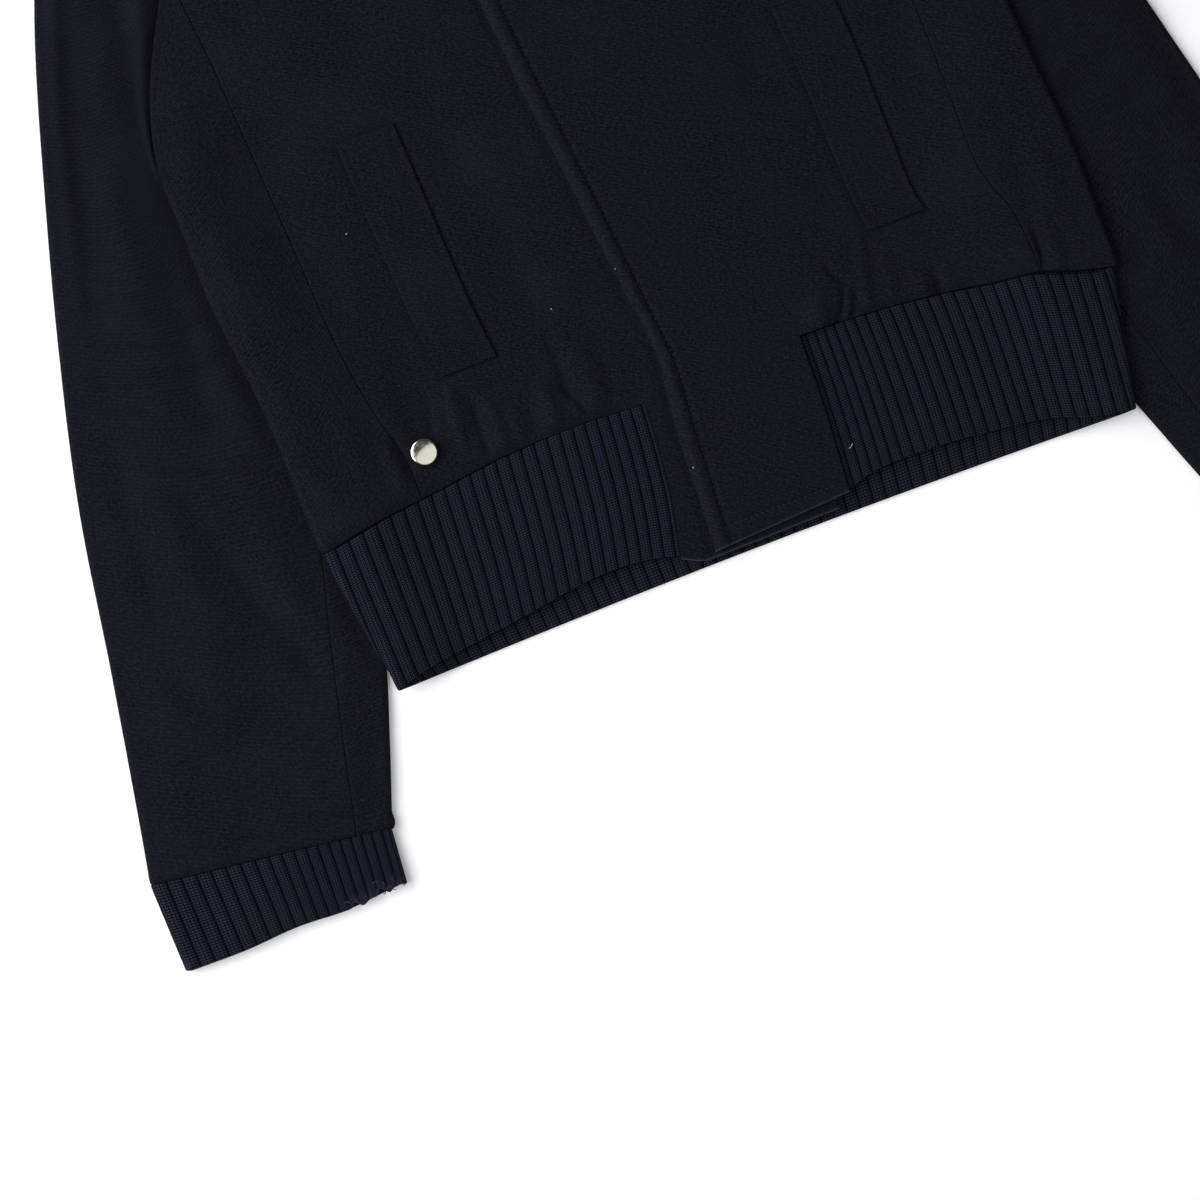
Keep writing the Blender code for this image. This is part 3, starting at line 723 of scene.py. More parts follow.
def strands(name, paths, material):
    """Short round threads with pointed ends, joined in one mesh. A path is its points and radius."""
    verts, faces = [], []
    around = 6
    for points, radius in paths:
        points = [Vector(p) for p in points]
        first = len(verts)
        last = len(points) - 1
        for i in range(1, last):
            forward = (points[i + 1] - points[i - 1]).normalized()
            side = forward.cross(Vector((0, 0, 1))).normalized()
            up = side.cross(forward)
            for k in range(around):
                turn = math.tau * k / around
                verts.append(points[i] + (side * math.cos(turn) + up * math.sin(turn)) * radius)
        ends = (len(verts), len(verts) + 1)
        verts += [points[0], points[last]]
        for i in range(last - 2):
            for k in range(around):
                a, b = first + i * around + k, first + i * around + (k + 1) % around
                faces.append((a, b, b + around, a + around))
        for k in range(around):
            a, b = first + k, first + (k + 1) % around
            faces.append((b, a, ends[0]))
            top = (last - 2) * around
            faces.append((a + top, b + top, ends[1]))
    mesh = bpy.data.meshes.new(name)
    mesh.from_pydata([(p + Vector(SHIFT)) * MM for p in verts], [], faces)
    mesh.shade_smooth()
    return add_piece(name, mesh, material)


def surface_z(pieces, u, v):
    """Height of the highest of some pieces at a place."""
    start = (Vector((u, v, 60)) + Vector(SHIFT)) * MM
    hits = [piece.ray_cast(start, Vector((0, 0, -1))) for piece in pieces]
    tops = [place.z / MM for hit, place, _, _ in hits if hit]
    if not tops:
        raise RuntimeError(f"nothing lies under {u:.0f}, {v:.0f}")
    return max(tops)


# Materials

# Wool seen from above has next to no gloss, and a faint sheen where it turns away
DRY_WOOL = {"Specular IOR Level": 0.07, "Sheen Weight": 0.02, "Sheen Roughness": 0.3}


def linear(code):
    """Linear colour of an sRGB hex value."""
    parts = [int(code[i:i + 2], 16) / 255 for i in (0, 2, 4)]
    return tuple(c / 12.92 if c <= 0.04045 else ((c + 0.055) / 1.055) ** 2.4 for c in parts)


def add_node(tree, kind, inputs=None, output=0, **settings):
    """A node with its settings, as the one of its outputs that is wanted. An input is another node's
    output to link, a colour or a value."""
    made = tree.nodes.new(kind)
    for name, value in settings.items():
        setattr(made, name, value)
    for key, value in (inputs or {}).items():
        socket = made.inputs[key]
        if isinstance(value, bpy.types.NodeSocket):
            tree.links.new(value, socket)
        else:
            socket.default_value = (*value, 1) if socket.type == "RGBA" else value
    return made.outputs[output] if len(made.outputs) else None


def new_material(name):
    """A new material and its empty tree of nodes."""
    made = bpy.data.materials.new(name)
    made.use_nodes = True
    made.node_tree.nodes.clear()
    return made, made.node_tree


def shade(tree, inputs):
    shader = add_node(tree, "ShaderNodeBsdfPrincipled", inputs)
    add_node(tree, "ShaderNodeOutputMaterial", {"Surface": shader})


def pattern_place(tree):
    """A place in the piece's flat cloth, in millimetres across and along it."""
    weave = add_node(tree, "ShaderNodeUVMap", uv_map="Weave")
    return add_node(tree, "ShaderNodeMapping", {"Vector": weave, "Scale": (1000, 1000, 1000)})


def wool_twill(wool):
    """Milled wool twill: fine diagonal ridges half hidden by a short felted nap, dull from above, with
    a soft pale sheen where the cloth turns away, and pale specks: the odd lighter fibre, and painted
    glints where nap tips catch the light."""
    made, tree = new_material("milled_wool_twill")
    flat = pattern_place(tree)
    turned = add_node(tree, "ShaderNodeMapping", {
        "Vector": flat, "Rotation": (0, 0, math.radians(-58))})
    wave_pitch = 0.31416     # distance between the bands of a wave at scale 1
    ridges = add_node(tree, "ShaderNodeTexWave", {
        "Vector": turned, "Scale": wave_pitch * MM / wool.twill_pitch, "Distortion": 2.4,
        "Detail": 2.0, "Detail Scale": 1.6}, output="Fac")
    nap = add_node(tree, "ShaderNodeTexNoise", {
        "Vector": flat, "Scale": 0.62, "Detail": 5.0, "Roughness": 0.72})
    combed = add_node(tree, "ShaderNodeMapping", {
        "Vector": flat, "Rotation": (0, 0, math.radians(24)), "Scale": (0.55, 3.4, 1)})
    fibres = add_node(tree, "ShaderNodeTexNoise", {
        "Vector": combed, "Scale": 0.9, "Detail": 3.0, "Roughness": 0.6})
    wear = add_node(tree, "ShaderNodeTexNoise", {
        "Vector": flat, "Scale": 0.021, "Detail": 2.0, "Roughness": 0.5})
    fuzz = add_node(tree, "ShaderNodeMath", {0: nap, 1: fibres}, operation="ADD")
    high = add_node(tree, "ShaderNodeMath", {0: ridges, 1: 0.08, 2: fuzz}, operation="MULTIPLY_ADD")
    crest = add_node(tree, "ShaderNodeMapRange", {
        "Value": high, "From Min": 0.84, "From Max": 1.24}, interpolation_type="SMOOTHSTEP")
    patch = add_node(tree, "ShaderNodeMapRange", {
        "Value": wear, "From Min": 0.3, "From Max": 0.7, "To Min": 0.0, "To Max": 0.35})
    # pale specks: lighter fibres, and painted glints on nap tips
    loose = add_node(tree, "ShaderNodeTexNoise", {
        "Vector": combed, "Scale": 1.7, "Detail": 1.0, "Roughness": 0.4})
    fibre_and_glint = add_node(tree, "ShaderNodeMapRange", {
        "Value": loose, "From Min": 0.73, "From Max": 0.79, "To Max": 0.55})
    # pale nap along edges: rubbed wear, and painted highlight where edges catch the light
    brushed = add_node(tree, "ShaderNodeAttribute", attribute_name="Wear", output="Fac")
    tone = wool.hollow_colour
    for share, colour in ((crest, wool.nap_colour), (patch, wool.worn_colour),
                          (fibre_and_glint, wool.fibre_and_glint_colour), (brushed, wool.wear_and_highlight_colour)):
        tone = add_node(tree, "ShaderNodeMix", {"Factor": share, 6: tone, 7: colour},
                        data_type="RGBA", output=2)
    rough = add_node(tree, "ShaderNodeMapRange", {
        "Value": nap, "From Min": 0.25, "From Max": 0.75, "To Min": 0.78, "To Max": 0.96})
    bump = add_node(tree, "ShaderNodeBump", {
        "Height": high, "Strength": 0.9, "Distance": wool.nap_height})
    shade(tree, {
        "Base Color": tone, "Roughness": rough, "Normal": bump, "Sheen Tint": linear("9aa0b8"),
        **DRY_WOOL})
    return made


def off_middle(tree, place, per_mm):
    """How far a place is from the middle of its strip, from 0 there to 0.5 at the strip's edge."""
    strips = add_node(tree, "ShaderNodeMath", {0: place, 1: per_mm}, operation="MULTIPLY")
    part = add_node(tree, "ShaderNodeMath", {0: strips}, operation="FRACT")
    part = add_node(tree, "ShaderNodeMath", {0: part, 1: 0.5}, operation="SUBTRACT")
    return add_node(tree, "ShaderNodeMath", {0: part}, operation="ABSOLUTE")


def mottle(tree, grain, low, high):
    """Fine grain fixed to the piece, and the colour that it gives between two."""
    place = add_node(tree, "ShaderNodeTexCoord", output="Object")
    fleck = add_node(tree, "ShaderNodeTexNoise", {"Vector": place, **grain})
    tone = add_node(tree, "ShaderNodeMix", {"Factor": fleck, 6: low, 7: high},
                    data_type="RGBA", output=2)
    return fleck, tone


def rib_knit(knit):
    """Ribbed wool knit: chains of small V stitches run down each rib and sink into a hollow between
    ribs, whose darkness is painted shade over the grooves of the shell. The yarn is a little bluer than
    the cloth and has a dull, dry surface."""
    made, tree = new_material("ribbed_wool_knit")
    flat = pattern_place(tree)
    over = add_node(tree, "ShaderNodeSeparateXYZ", {0: flat})
    down = over.node.outputs["Y"]
    pitch = knit.rib_pitch / MM
    off = off_middle(tree, over, knit.wales / pitch)
    course = add_node(tree, "ShaderNodeMath", {0: down, 1: MM / knit.course}, operation="MULTIPLY")
    course = add_node(tree, "ShaderNodeMath", {0: off, 1: 1.1, 2: course}, operation="MULTIPLY_ADD")
    turn = add_node(tree, "ShaderNodeMath", {0: course, 1: math.tau}, operation="MULTIPLY")
    stitch = add_node(tree, "ShaderNodeMath", {0: turn}, operation="SINE")
    stitch = add_node(tree, "ShaderNodeMath", {0: stitch, 1: 0.5, 2: 0.5}, operation="MULTIPLY_ADD")
    chains = add_node(tree, "ShaderNodeMapRange", {
        "Value": off, "From Min": 0.3, "From Max": 0.5, "To Min": 1.0, "To Max": 0.0},
        interpolation_type="SMOOTHSTEP")
    chain = add_node(tree, "ShaderNodeMath", {0: stitch, 1: chains}, operation="MULTIPLY")
    fuzz = add_node(tree, "ShaderNodeTexNoise", {
        "Vector": flat, "Scale": 1.5, "Detail": 4.0, "Roughness": 0.7})
    high = add_node(tree, "ShaderNodeMath", {0: fuzz, 1: 0.7, 2: chain}, operation="MULTIPLY_ADD")
    # painted shade: the grooves between ribs are darkened towards the hollow colour
    hollow = add_node(tree, "ShaderNodeMapRange", {
        "Value": off_middle(tree, over, 1 / pitch), "From Min": 0.32, "From Max": 0.46, "To Max": 0.85},
        interpolation_type="SMOOTHSTEP")
    crest = add_node(tree, "ShaderNodeMapRange", {"Value": high, "From Min": 0.4, "From Max": 1.15})
    brushed = add_node(tree, "ShaderNodeAttribute", attribute_name="Wear", output="Fac")
    tone = knit.hollow_colour
    for share, colour in ((crest, knit.yarn_colour), (hollow, knit.hollow_colour),
                          (brushed, knit.frayed_colour)):
        tone = add_node(tree, "ShaderNodeMix", {"Factor": share, 6: tone, 7: colour},
                        data_type="RGBA", output=2)
    bump = add_node(tree, "ShaderNodeBump", {
        "Height": high, "Strength": 1.0, "Distance": knit.stitch_height})
    shade(tree, {
        "Base Color": tone, "Roughness": 0.88, "Normal": bump, "Sheen Tint": linear("96a0c0"),
        **DRY_WOOL})
    return made


def sewing_thread(thread):
    """Spun polyester thread: two plies twisted together, a little smoother than the wool round it."""
    made, tree = new_material("spun_polyester_thread")
    _, tone = mottle(tree, {"Scale": 2600.0, "Detail": 2.0}, linear("0c0d12"), thread.colour)
    shade(tree, {"Base Color": tone, "Roughness": 0.62, "Specular IOR Level": 0.4})
    return made


def frayed_yarn(knit):
    """The knit's own yarn where it has come loose: paler and hairier than in the stitches."""
    made, tree = new_material("frayed_wool_yarn")
    grain = {"Scale": 1900.0, "Detail": 3.0, "Roughness": 0.7}
    hair, tone = mottle(tree, grain, knit.hollow_colour, knit.frayed_colour)
    bump = add_node(tree, "ShaderNodeBump", {"Height": hair, "Strength": 0.8, "Distance": 0.0002})
    shade(tree, {"Base Color": tone, "Roughness": 0.9, "Normal": bump, "Sheen Weight": 0.05,
                 "Sheen Roughness": 0.5})
    return made


def lint_fibre():
    """Cotton lint: pale dull fibres that have settled on the wool."""
    made, tree = new_material("cotton_lint")
    _, tone = mottle(tree, {"Scale": 1500.0}, linear("8f9099"), linear("e8e8ea"))
    shade(tree, {"Base Color": tone, "Roughness": 0.95})
    return made


def polished_nickel(snap):
    """Polished nickel plate on a pressed brass cap: a warm silver mirror with faint hairlines and a
    slightly duller haze in patches."""
    made, tree = new_material("polished_nickel_plate")
    haze, tone = mottle(tree, {"Scale": 420.0, "Detail": 2.0}, linear("9b988c"), snap.colour)
    place = add_node(tree, "ShaderNodeTexCoord", output="Object")
    lines = add_node(tree, "ShaderNodeMapping", {
        "Vector": place, "Rotation": (0, 0, math.radians(35)), "Scale": (220, 5200, 900)})
    hairline = add_node(tree, "ShaderNodeTexNoise", {"Vector": lines, "Scale": 1.0, "Detail": 3.0})
    rough = add_node(tree, "ShaderNodeMapRange", {
        "Value": haze, "From Min": 0.3, "From Max": 0.7, "To Min": 0.08, "To Max": 0.18})
    bump = add_node(tree, "ShaderNodeBump", {
        "Height": hairline, "Strength": 0.25, "Distance": 0.00002})
    shade(tree, {"Base Color": tone, "Metallic": 1.0, "Roughness": rough, "Normal": bump})
    return made


def backdrop_paper(stage):
    """Matt white backdrop paper, with the faintest tooth."""
    made, tree = new_material("matt_backdrop_paper")
    _, tone = mottle(tree, {"Scale": 900.0, "Detail": 2.0}, stage.floor_colour, linear("ffffff"))
    shade(tree, {"Base Color": tone, "Roughness": 1.0, "Specular IOR Level": 0.1})
    return made


FINISHES = {}


def finish(name):
    """A finish that several pieces share, made when the first one needs it."""
    scene = bpy.context.scene
    if name not in FINISHES:
        FINISHES[name] = {
            "cloth": lambda: wool_twill(scene.blouson_wool),
            "knit": lambda: rib_knit(scene.blouson_knit),
            "thread": lambda: sewing_thread(scene.blouson_thread),
            "fray": lambda: frayed_yarn(scene.blouson_knit),
            "lint": lint_fibre,
            "nickel": lambda: polished_nickel(scene.blouson_snap),
        }[name]()
    return FINISHES[name]


def cloth(name, u, v, z, wear=0.0):
    """A piece of the wool cloth on a grid of middle points."""
    return shell(name + "_cloth", u, v, z, CLOTH / 2, finish("cloth"), wear=wear)


def knitted(name, grid, ribs, down, round_ribs=0, wear=0.0):
    """A knit piece. ribs are the rib numbers of the grid's lines, down the distance along the ribs,
    and round_ribs the ribs all round a tube."""
    pitch = bpy.context.scene.blouson_knit.rib_pitch / MM
    return shell(name + "_knit", *grid, rib_half(ribs), finish("knit"), across=ribs * pitch,
                 along=down, wrap=round_ribs * pitch, wear=wear)


# Body

def level(h, u, top):
    """Height v on the row h: along the hem seam at the bottom, along the shoulder and neck at the
    top."""
    low = lerp(hem_seam(u), FIRST_ROW_V, (h - SEAM_ROW_V) / (FIRST_ROW_V - SEAM_ROW_V))
    high = lerp(YOKE_V, top(u), (h - YOKE_V) / (TIP_V - YOKE_V))
    return np.where(h < FIRST_ROW_V, low, np.where(h <= YOKE_V, h, high))


def side_seam(side):
    """The side seam, and above it the armhole."""
    def edge(v):
        line = np.where(v <= YOKE_V, body("seam_" + side, v), body("fold_" + side, v))
        return line - sign_of(side) * SEAM / 2
    return edge


def rib_end(side):
    return lambda v: smooth(RIB_END["v"], RIB_END[side], v)


def fly_edge(v):
    return body("fly", v)


def underlap_edge(v):
    return np.full(np.shape(v), float(UNDERLAP_U))


def stitch_line(v):
    return smooth(FLY_STITCH["v"], FLY_STITCH["u"], v)


def between(first, last, share):
    """The line at a share of the way from one line to another."""
    return lambda v: lerp(first(v), last(v), share)


def rib_line(side, edge):
    """The line of a front that ends at the end of the hem band: edge is the front's other edge."""
    seam, end = side_seam(side)(SEAM_ROW_V), rib_end(side)(SEAM_ROW_V)
    other = edge(np.array(SEAM_ROW_V))
    return between(side_seam(side), edge, (end - seam) / (other - seam))


def panel(guides, lines, top, pitch):
    """u and v of a front's or the back's grid."""
    height = TIP_V - SEAM_ROW_V
    rows = SEAM_ROW_V + height * stops(height, pitch)
    h = np.repeat(rows[:, None], len(lines), axis=1)
    u = spread(guides, lines, h)
    return u, level(h, u, top)


# Shares of a tab's depth at which its grid has a row, close together along its lower edge
TAB_DEPTH = 80
TAB_STEPS = np.concatenate([EDGE_STEPS, np.arange(2.4, 15, 0.9), np.linspace(16, TAB_DEPTH, 31)])
TAB_STEPS = TAB_STEPS / TAB_DEPTH


def right_tab_edge(u):
    """Lower edge of the right front, which drops a little under the fly."""
    return lerp(6.5, 15, ease((-20 - u) / 20))


def left_tab_edge(u):
    """Lower edge of the left front, from the fly's edge to the hem band."""
    return lerp(9, 12.7, (u + 26) / 78)


def with_tab(u, v, lines, first, last, guides, bottom):
    """The grid of a front with the tab beside the hem band's end added below its first row. It takes
    the lines from first to last, which run between the tab's own guides."""
    here = (lines >= first) & (lines <= last)
    u0, v0 = u[0][None, here], v[0][None, here]
    share = TAB_STEPS[:-1, None]
    low_v = lerp(bottom(u0), v0, share)
    ks = lines[here] - first
    low_u = spread(guides, ks, low_v) + (u0 - spread(guides, ks, v0)) * share
    tab = np.full((2, len(share), len(lines)), np.nan)
    tab[:, :, here] = low_u, low_v
    return np.concatenate([tab[0], u]), np.concatenate([tab[1], v])


def fly_press(u, v):
    """Groove along the fly's stitches, and the soft roll between it and the edge."""
    away = u - stitch_line(v)
    edge = fly_edge(v)
    inside = (u - edge) / (stitch_line(v) - edge)
    roll = np.where((inside > 0) & (inside < 1), 1.3 * np.sin(math.pi * np.clip(inside, 0, 1)), 0)
    (corner_u, corner_v), (end_u, end_v) = FLY_CORNER, FLY_STITCH_END
    along = (u - corner_u) / (end_u - corner_u)
    hem_away = v - lerp(corner_v, end_v, along)
    side = bell(away, GROOVE) * ease((v - corner_v + 1) / 2)
    hem = bell(hem_away, GROOVE) * ease(along * 20 + 0.5) * ease((1 - along) * 6)
    hem_roll = 0.7 * bell(hem_away + 5, 3.5) * ease(along * 8) * ease((1 - along) * 5)
    return roll + hem_roll - 1.0 * np.maximum(side, hem)


def welt_press(side, edges, u, v):
    """The welt is pressed into its front, which sinks softly round it."""
    shares, (low, high) = WELTS[side]
    left, right = (lerp(edges[0](v), edges[1](v), share) for share in shares)
    outside = np.maximum.reduce([left - u, u - right, low - v, v - high])
    return -WELT_SINK * (1 - ease((outside + 0.5) / 4.5))


def snap_press(u, v):
    """The snap pulls the cloth down round itself."""
    away = np.hypot(u - SNAP_AT[0], v - SNAP_AT[1])
    return -0.7 * bell(away, 9)


def on(grid, height):
    """Heights of a grid whose notches are nan."""
    u, v = (np.nan_to_num(part) for part in grid)
    return height(u, v)


def hem_wear_and_highlight(shape):
    """Pale along the lower edge of a front's tab, over its first rows: partly rubbed nap, partly
    painted highlight where the edge catches the light.
    """
    wear = np.zeros(shape)
    wear[:4] = np.array((0.3, 0.3, 0.16, 0.05))[:, None]
    return wear


def make_front_right():
    """From the side seam past the fly's edge, with the tab beside the hem band's end."""
    rib = rib_line("right", underlap_edge)
    hidden = between(rib, underlap_edge, HIDDEN_LINE)
    guides = (side_seam("right"), rib, hidden, underlap_edge)
    lines = across_strips(RIGHT_STRIPS, (0, 1, 3))
    u, v = panel(guides, lines, underlap_top, FINE)
    low = (rib_end("right"), between(rib_end("right"), underlap_edge, HIDDEN_LINE), underlap_edge)
    u, v = with_tab(u, v, lines, 1, 3, low, right_tab_edge)

    def height(a, b):
        from_fly = a - fly_edge(b)
        under_fly = 1.1 * ease((from_fly - 1) / 8) + 1.2 * bell(from_fly + 1, 2.6)
        pressed = snap_press(a, b) + welt_press("right", (side_seam("right"), underlap_edge), a, b)
        return upper_z(a, b) + body_crease(a, b) + pressed - under_fly
    return cloth("front_right", u, v, on((u, v), height), hem_wear_and_highlight(u.shape))


def make_front_left():
    """From the fly's edge to the side seam. It lies on the underlap of the other front."""
    rib = rib_line("left", fly_edge)
    beside = between(stitch_line, rib, FLY_LINE)
    guides = (fly_edge, stitch_line, beside, rib, side_seam("left"))
    lines = across_strips(LEFT_STRIPS, (0, 3, 4))
    u, v = panel(guides, lines, front_top, FINE)
    end = rib_end("left")
    low = (fly_edge, stitch_line, between(stitch_line, end, FLY_LINE), end)
    u, v = with_tab(u, v, lines, 0, 3, low, left_tab_edge)

    def height(a, b):
        pressed = fly_press(a, b) + welt_press("left", (fly_edge, side_seam("left")), a, b)
        return fly_z(a, b) + body_crease(a, b) + pressed

    # painted highlight on the lit crest of the fly's roll, carried in the pale share
    def painted_ridge_highlight(a, b):
        inside = (a - fly_edge(b)) / (stitch_line(b) - fly_edge(b))
        return 0.02 * bell(inside - 0.3, 0.28)
    return cloth("front_left", u, v, on((u, v), height), on((u, v), painted_ridge_highlight) + hem_wear_and_highlight(u.shape))


def make_back():
    guides = (side_seam("right"), side_seam("left"))
    u, v = panel(guides, stops(BACK_WIDTH, COARSE), back_top, COARSE)
    return cloth("back", u, v, lower_z(u, v))


def make_side(side):
    """From the front seam round the side fold to the back seam. The armhole parts it at the top."""
    sign = sign_of(side)
    edge = side_seam(side)
    low, high = UNDERARM_V - SEAM_ROW_V, LAST_SIDE_V - UNDERARM_V
    rows = np.concatenate([SEAM_ROW_V + low * stops(low, FINE),
                           UNDERARM_V + high * stops(high, FINE, start=False)[1:]])
    leg = stops(SIDE_WIDTH, FINE)
    k = np.concatenate([leg, np.ones(len(ARC)), leg[::-1]])
    angle = fold_angles(len(leg), len(leg))
    h = np.repeat(rows[:, None], len(k), axis=1)
    open_here = np.clip((h - UNDERARM_V) / PART_OVER, 0, 1)
    closing = ease((h - UNDERARM_V + CLOSE_OVER) / CLOSE_OVER)
    first = edge(h) + sign * SEAM
    last = body("fold_" + side, h) - sign * lerp(lerp(REACH, CLOTH / 2, closing), SEAM / 2, open_here)
    u = lerp(first, last, k) + sign * np.sin(angle) * FOLD / 2 * (1 - closing)
    on_arc = (angle > 0) & (angle < math.pi - 1e-6)
    u[(h > UNDERARM_V) & on_arc] = np.nan
    v = level(h, np.nan_to_num(u), front_top)

    def height(a, b):
        share = (1 + np.cos(angle)) / 2
        lower, upper = lower_z(a, b), upper_z(a, b) + body_crease(a, b)
        return lerp(lower, upper, share)
    return cloth("side_" + side, u, v, on((u, v), height))


def make_welt(side):
    """A pocket welt lies on its front, between two lines of the front's own grid."""
    edges = (side_seam("right"), underlap_edge) if side == "right" else (fly_edge, side_seam("left"))
    shares, (low, high) = WELTS[side]
    across = lerp(shares[0], shares[1], stops(WELT_WIDTH, WELT_LINES))
    h = np.repeat(lerp(low, high, stops(high - low, WELT_ROWS))[:, None], len(across), axis=1)
    u = lerp(edges[0](h), edges[1](h), across)
    rise = upper_z(u, h) if side == "right" else fly_z(u, h)
    inner = np.minimum(across - shares[0], shares[1] - across) / (shares[1] - shares[0]) * WELT_WIDTH
    ends = np.minimum(h - low, high - h)
    stitched = -0.35 * bell(np.minimum(np.minimum(inner, ends), 9) - WELT_STITCH, 1.2)
    z = rise + body_crease(u, h) + CLOTH + LAY - WELT_SINK + stitched
    return cloth("welt_" + side, u, h, z)


# Knit bands

def rib_half(ribs):
    """Half thickness of the knit by rib number: rounded ribs with a narrow hollow at whole numbers."""
    off = 2 * np.abs(ribs - np.floor(ribs) - 0.5)
    return KNIT / 2 * (1 - 0.18 * off ** 2) * (1 - 0.6 * ease((off - 0.5) / 0.5))


def rib_lines(start, end, per_rib, near=()):
    """Falling rib numbers from start to end, with lines at even parts of each rib."""
    parts = np.arange(math.ceil(end * per_rib), math.floor(start * per_rib) + 1) / per_rib
    return np.unique(np.concatenate([[start, end], parts, near]))[::-1]


def apart(ribs):
    """Rib numbers without those that all but meet the one before."""
    return ribs[np.concatenate([[True], np.abs(np.diff(ribs)) > 0.004])]


def make_hem_rib():
    """One knit strip from one front end round the back to the other."""
    end_right, fold_right = HEM_RIBS["right"][[-1, 0]]
    end_left, fold_left = HEM_RIBS["left"][[-1, 0]]
    near = np.array(EDGE_STEPS) / HEM_END_PITCH
    back_right = fold_right - HEM_FOLD_RIBS
    back_left = back_right - HEM_BACK_RIBS
    turn_left = back_left - HEM_FOLD_RIBS
    last = turn_left + fold_left - end_left
    ribs = np.unique(np.concatenate([
        rib_lines(end_right, fold_right, LINES_PER_RIB, end_right - near),
        rib_lines(fold_right, back_right, LINES_PER_RIB),
        rib_lines(back_right, back_left, HIDDEN_LINES_PER_RIB),
        rib_lines(back_left, turn_left, LINES_PER_RIB),
        rib_lines(turn_left, last, LINES_PER_RIB, last + near)]))[::-1]
    ribs = apart(ribs)
    share = stops(HEM_DEPTH, HEM_ROWS)[:, None]

    def fold(side, v):
        return body("fold_" + side, v) - sign_of(side) * RIB_REACH

    def half(side, count):
        """Points of one half, by the distance in ribs from the side fold towards the front."""
        sign = sign_of(side)
        f = np.where(count > 0, smooth(HEM_RIBS[side], HEM_RIBS["share"], count + HEM_RIBS[side][0]), 0)
        start, end = fold(side, SEAM_ROW_V), rib_end(side)(SEAM_ROW_V) + sign * SEAM
        behind = np.clip((-count - HEM_FOLD_RIBS) / HEM_BACK_RIBS, 0, 1)
        other = "left" if side == "right" else "right"
        back_u = lerp(start, fold(other, SEAM_ROW_V), behind)
        back_share = behind if side == "right" else 1 - behind
        edge = np.where(count > 0, smooth(RIB_EDGE["share"], RIB_EDGE[side], f),
                        lerp(RIB_EDGE["right"][0], RIB_EDGE["left"][0], back_share)
                        + RIB_BACK_BOW * np.sin(math.pi * behind))
        top = hem_seam(np.where(count > 0, lerp(start, end, f), back_u)) - RIB_DROP
        v = lerp(top, edge, share)
        span = np.abs(rib_end(side)(v) + sign * SEAM - fold(side, v))
        lean = 9 * (share - 0.5) * np.where(count > 0, 1 - f ** 3, 1 - ease(-count / 8))
        along = np.where(count > 0, f * span, count / HEM_FOLD_RIBS * math.pi * KNIT_FOLD / 2)
        past_fold = -math.pi * KNIT_FOLD / 2 + (count + HEM_FOLD_RIBS) * RIB_PITCH
        along = np.where(count < -HEM_FOLD_RIBS, past_fold, along) - lean
        angle = np.clip(-along / (KNIT_FOLD / 2), 0, math.pi)
        front_u = fold(side, v) - sign * np.maximum(along, 0) + sign * np.sin(angle) * KNIT_FOLD / 2
        past = np.maximum(-along - math.pi * KNIT_FOLD / 2, 0) / (HEM_BACK_RIBS * RIB_PITCH)
        u = np.where(past > 0, lerp(fold(side, v), fold(other, v), past), front_u)
        high = (1 + np.cos(angle)) / 2
        wave = 0.7 * slack(u * 1.2 + 300, v) - SEAM_VALLEY * bell(share * HEM_DEPTH, 2.4)
        return u, v, KNIT / 2 + lift(u, v) + KNIT_FOLD * high + wave * high

    right = half("right", (ribs - fold_right)[None, :])
    left = half("left", (turn_left - ribs)[None, :])
    middle = (back_right + back_left) / 2
    u, v, z = (np.where(ribs[None, :] > middle, a, b) for a, b in zip(right, left))
    return knitted("hem_band", (u, v, z), ribs[None, :], share * HEM_DEPTH)


def worn_cuff(ribs):
    """How worn the right cuff is at each rib: most beside its inner fold."""
    return ease((ribs - 11.5) / 2.5)


